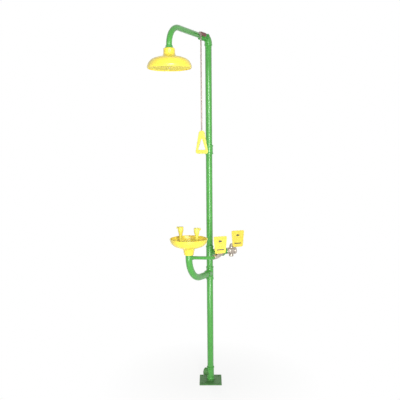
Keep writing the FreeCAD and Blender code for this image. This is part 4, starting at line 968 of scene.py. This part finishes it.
past = np.r_[0, 0, 0, 0.4, 1.5, 4, np.linspace(8, 56, 9), 60, 62.5, 63.6, 64, 64, 64][:, None, None]
closing = np.r_[0, 0.55, 0.8, 0.93, 0.985, np.ones(11), 0.985, 0.93, 0.8, 0.55, 0][:, None, None]
strip_half = 10 - (34 + past) / 112
section = superellipse(3.2)
start = middle("lever_sleeve") * X + reach("lever_sleeve")[1] * Y + ARM_Z * Z
sleeve = start - past * Y + closing * (4.0 * section[:, :1] * X + (strip_half + 2.1) * section[:, 1:] * Z)
piece("lever_vinyl_sleeve", [sleeve], "lever_sleeve", "shower_lever_body")

# %% [markdown]
# ## Pull rod and handle
# The rod is drawn bar, bent over at the top so that it hooks through the lever's eye, with its end upset so
# that it can't slip out. The handle is a triangle with a hand opening: a ring, thick in the grip and wide in
# the hub. Seen from the middle of the opening, each of its outlines is one distance for every direction.

# %% Pull rod
ROD_X, ROD_Y, ROD_R = middle("pull_handle")[0], middle("pull_rod")[1], 4.0
rod_end = reach("pull_rod")[0]
eye_side = np.array([rod_end[0] + 2, ROD_Y, ARM_Z])
line = bent(eye_side, (ROD_X, ROD_Y, ARM_Z), (ROD_X, ROD_Y, rod_end[2]), 5.0, 14)
total = line_length(line)
rod = carried(line, [(0, 0), (0.01, ROD_R - 0.4), (0.4, ROD_R), (total - 0.4, ROD_R),
    (total - 0.01, ROD_R - 0.4), (total, 0)], 32)
upset = bar(eye_side - X * 2, eye_side, ROD_R + 2, 0.8)
piece("pull_rod_bar", [rod, upset], "pull_rod", "pull_rod_body", ROD_STEEL)


# %% Handle
def radial(outline, directions):
    """Distance from the origin to a closed outline in each direction, read off by angle."""
    line = np.vstack([outline, outline[:1]])
    dense = np.vstack([np.linspace(p, q, 30, endpoint=False) for p, q in zip(line[:-1], line[1:])])
    angle, distance = np.arctan2(dense[:, 1], dense[:, 0]), np.linalg.norm(dense, axis=1)
    order = np.argsort(angle)
    return np.interp(directions, angle[order], distance[order], period=TURN)


low, high = reach("pull_handle")
HANDLE_HALF, HANDLE_THICK, HANDLE_HIGH = (high - low) * (0.5, 1, 1)
HUB_HALF, TIP_HALF, GRIP, SIDE = 17.0, 3.5, 24.0, 12.0
slope = (HANDLE_HALF - HUB_HALF) / HANDLE_HIGH
open_half = HANDLE_HALF - slope * GRIP - SIDE
open_high = (open_half - TIP_HALF) / slope * 0.55
eye_up = GRIP + 0.38 * open_high  # the middle of the opening above the handle's foot
foot, top = GRIP - eye_up, GRIP + open_high - eye_up
outer = soft([(-HUB_HALF, HANDLE_HIGH - eye_up), (-HANDLE_HALF, -eye_up), (HANDLE_HALF, -eye_up),
    (HUB_HALF, HANDLE_HIGH - eye_up)], [14, 19, 19, 14], 9, ring=True)
opening = soft([(-TIP_HALF, top), (-open_half, foot), (open_half, foot), (TIP_HALF, top)], [3, 6, 6, 3], 6,
    ring=True)
around = np.linspace(-np.pi, np.pi, 288, endpoint=False)[:, None]
far, near = radial(outer, around), radial(opening, around)
section = superellipse(3.4, 40)
radius = ((far + near) / 2 + (far - near) / 2 * section[:, 0])[..., None]
spoke = (np.cos(around) * X + np.sin(around) * Z)[:, None]
handle = (ROD_X, ROD_Y, low[2] + eye_up) + radius * spoke + HANDLE_THICK / 2 * section[:, 1:] * Y
ferrule = turned(tube(7.0, 4.1, high[2] - 3, high[2] - 0.2, 0.8), (ROD_X, ROD_Y, 0), Z, 40)
piece("pull_handle_moulding", [handle, ferrule], "pull_handle", "pull_rod_body", PALE_YELLOW, sharp=50)

# %% [markdown]
# ## Push plates
# Each plate is sheet metal with a pressed face. Its outline is shrunk towards the middle in a few steps,
# each at its own depth, so the edge is rolled and the face is gently domed. Two rivets hold it to the
# lever. The printed arrow and bar only show which way to push.


# %% A pad from an outline
def pad(outline, steps, at, right, up):
    """Point = place + share x outline in the plane of right and up + depth x aside, for each (share,
    depth) in steps. The first and last share are nought, so both faces close in a pole."""
    share, depth = np.asarray(steps, float).T[..., None, None]
    return at + share * (outline[:, :1] * right + outline[:, 1:] * up) + depth * ASIDE


PLATE_HALF = 1.5  # half the thickness of a plate
plate_outline = soft([(-36, -56), (36, -56), (46, 56), (-46, 56)], [11, 11, 12, 12], 9, ring=True)
plate_steps = [(0, 0.3), (0.5, 0.3), (0.9, 0.1), (0.975, 0.0), (0.993, 0.35), (1, 1.0), (1, 1.9),
    (0.993, 2.45), (0.975, 2.75), (0.93, 2.85), (0.6, 2.95), (0.3, 3.0), (0, 3.0)]
arrow_outline = np.array([(0, 13), (-9, 2), (-4, 2), (-4, -11), (4, -11), (4, 2), (9, 2)], float)
bar_outline = soft([(-25, -3), (25, -3), (25, 3), (-25, 3)], 1.2, 4, ring=True)
print_steps = [(0, -0.3), (1, -0.3), (1, 0.15), (0, 0.15)]
rivet = soft([(0, 0), (4.6, 0), (4.2, 1.0), (2.4, 1.7), (0, 1.9)], [0, 0.2, 0.8, 1, 0])
for lever in ("supply", "eyewash"):
    node, body = lever + "_plate", lever + "_lever_body"
    back, face = middle(node) - ASIDE * PLATE_HALF, middle(node) + ASIDE * PLATE_HALF
    plate = pad(plate_outline, plate_steps, back, ALONG, Z)
    piece(node + "_pressing", [plate], node, body, sharp=60)
    arrow = pad(arrow_outline, print_steps, face + Z * 24, Z, -ALONG)
    line = pad(bar_outline, print_steps, face - Z * 31, ALONG, Z)
    piece(node + "_arrow", [arrow, line], None, body, INK, ())
    rivets = [turned(rivet, face - ASIDE * 0.2 + Z * h, ASIDE, 32) for h in (6, -12)]
    piece(node + "_rivets", rivets, node, body, stands_for=())

# %% [markdown]
# ## Base plate
# The base is flame-cut plate, scuffed and dull. The frame's plate is right, so it only gets the broken edge
# that a grinder leaves.

# %% Base plate
softened("base_plate", "base_plate_ground", 1.0, 3)
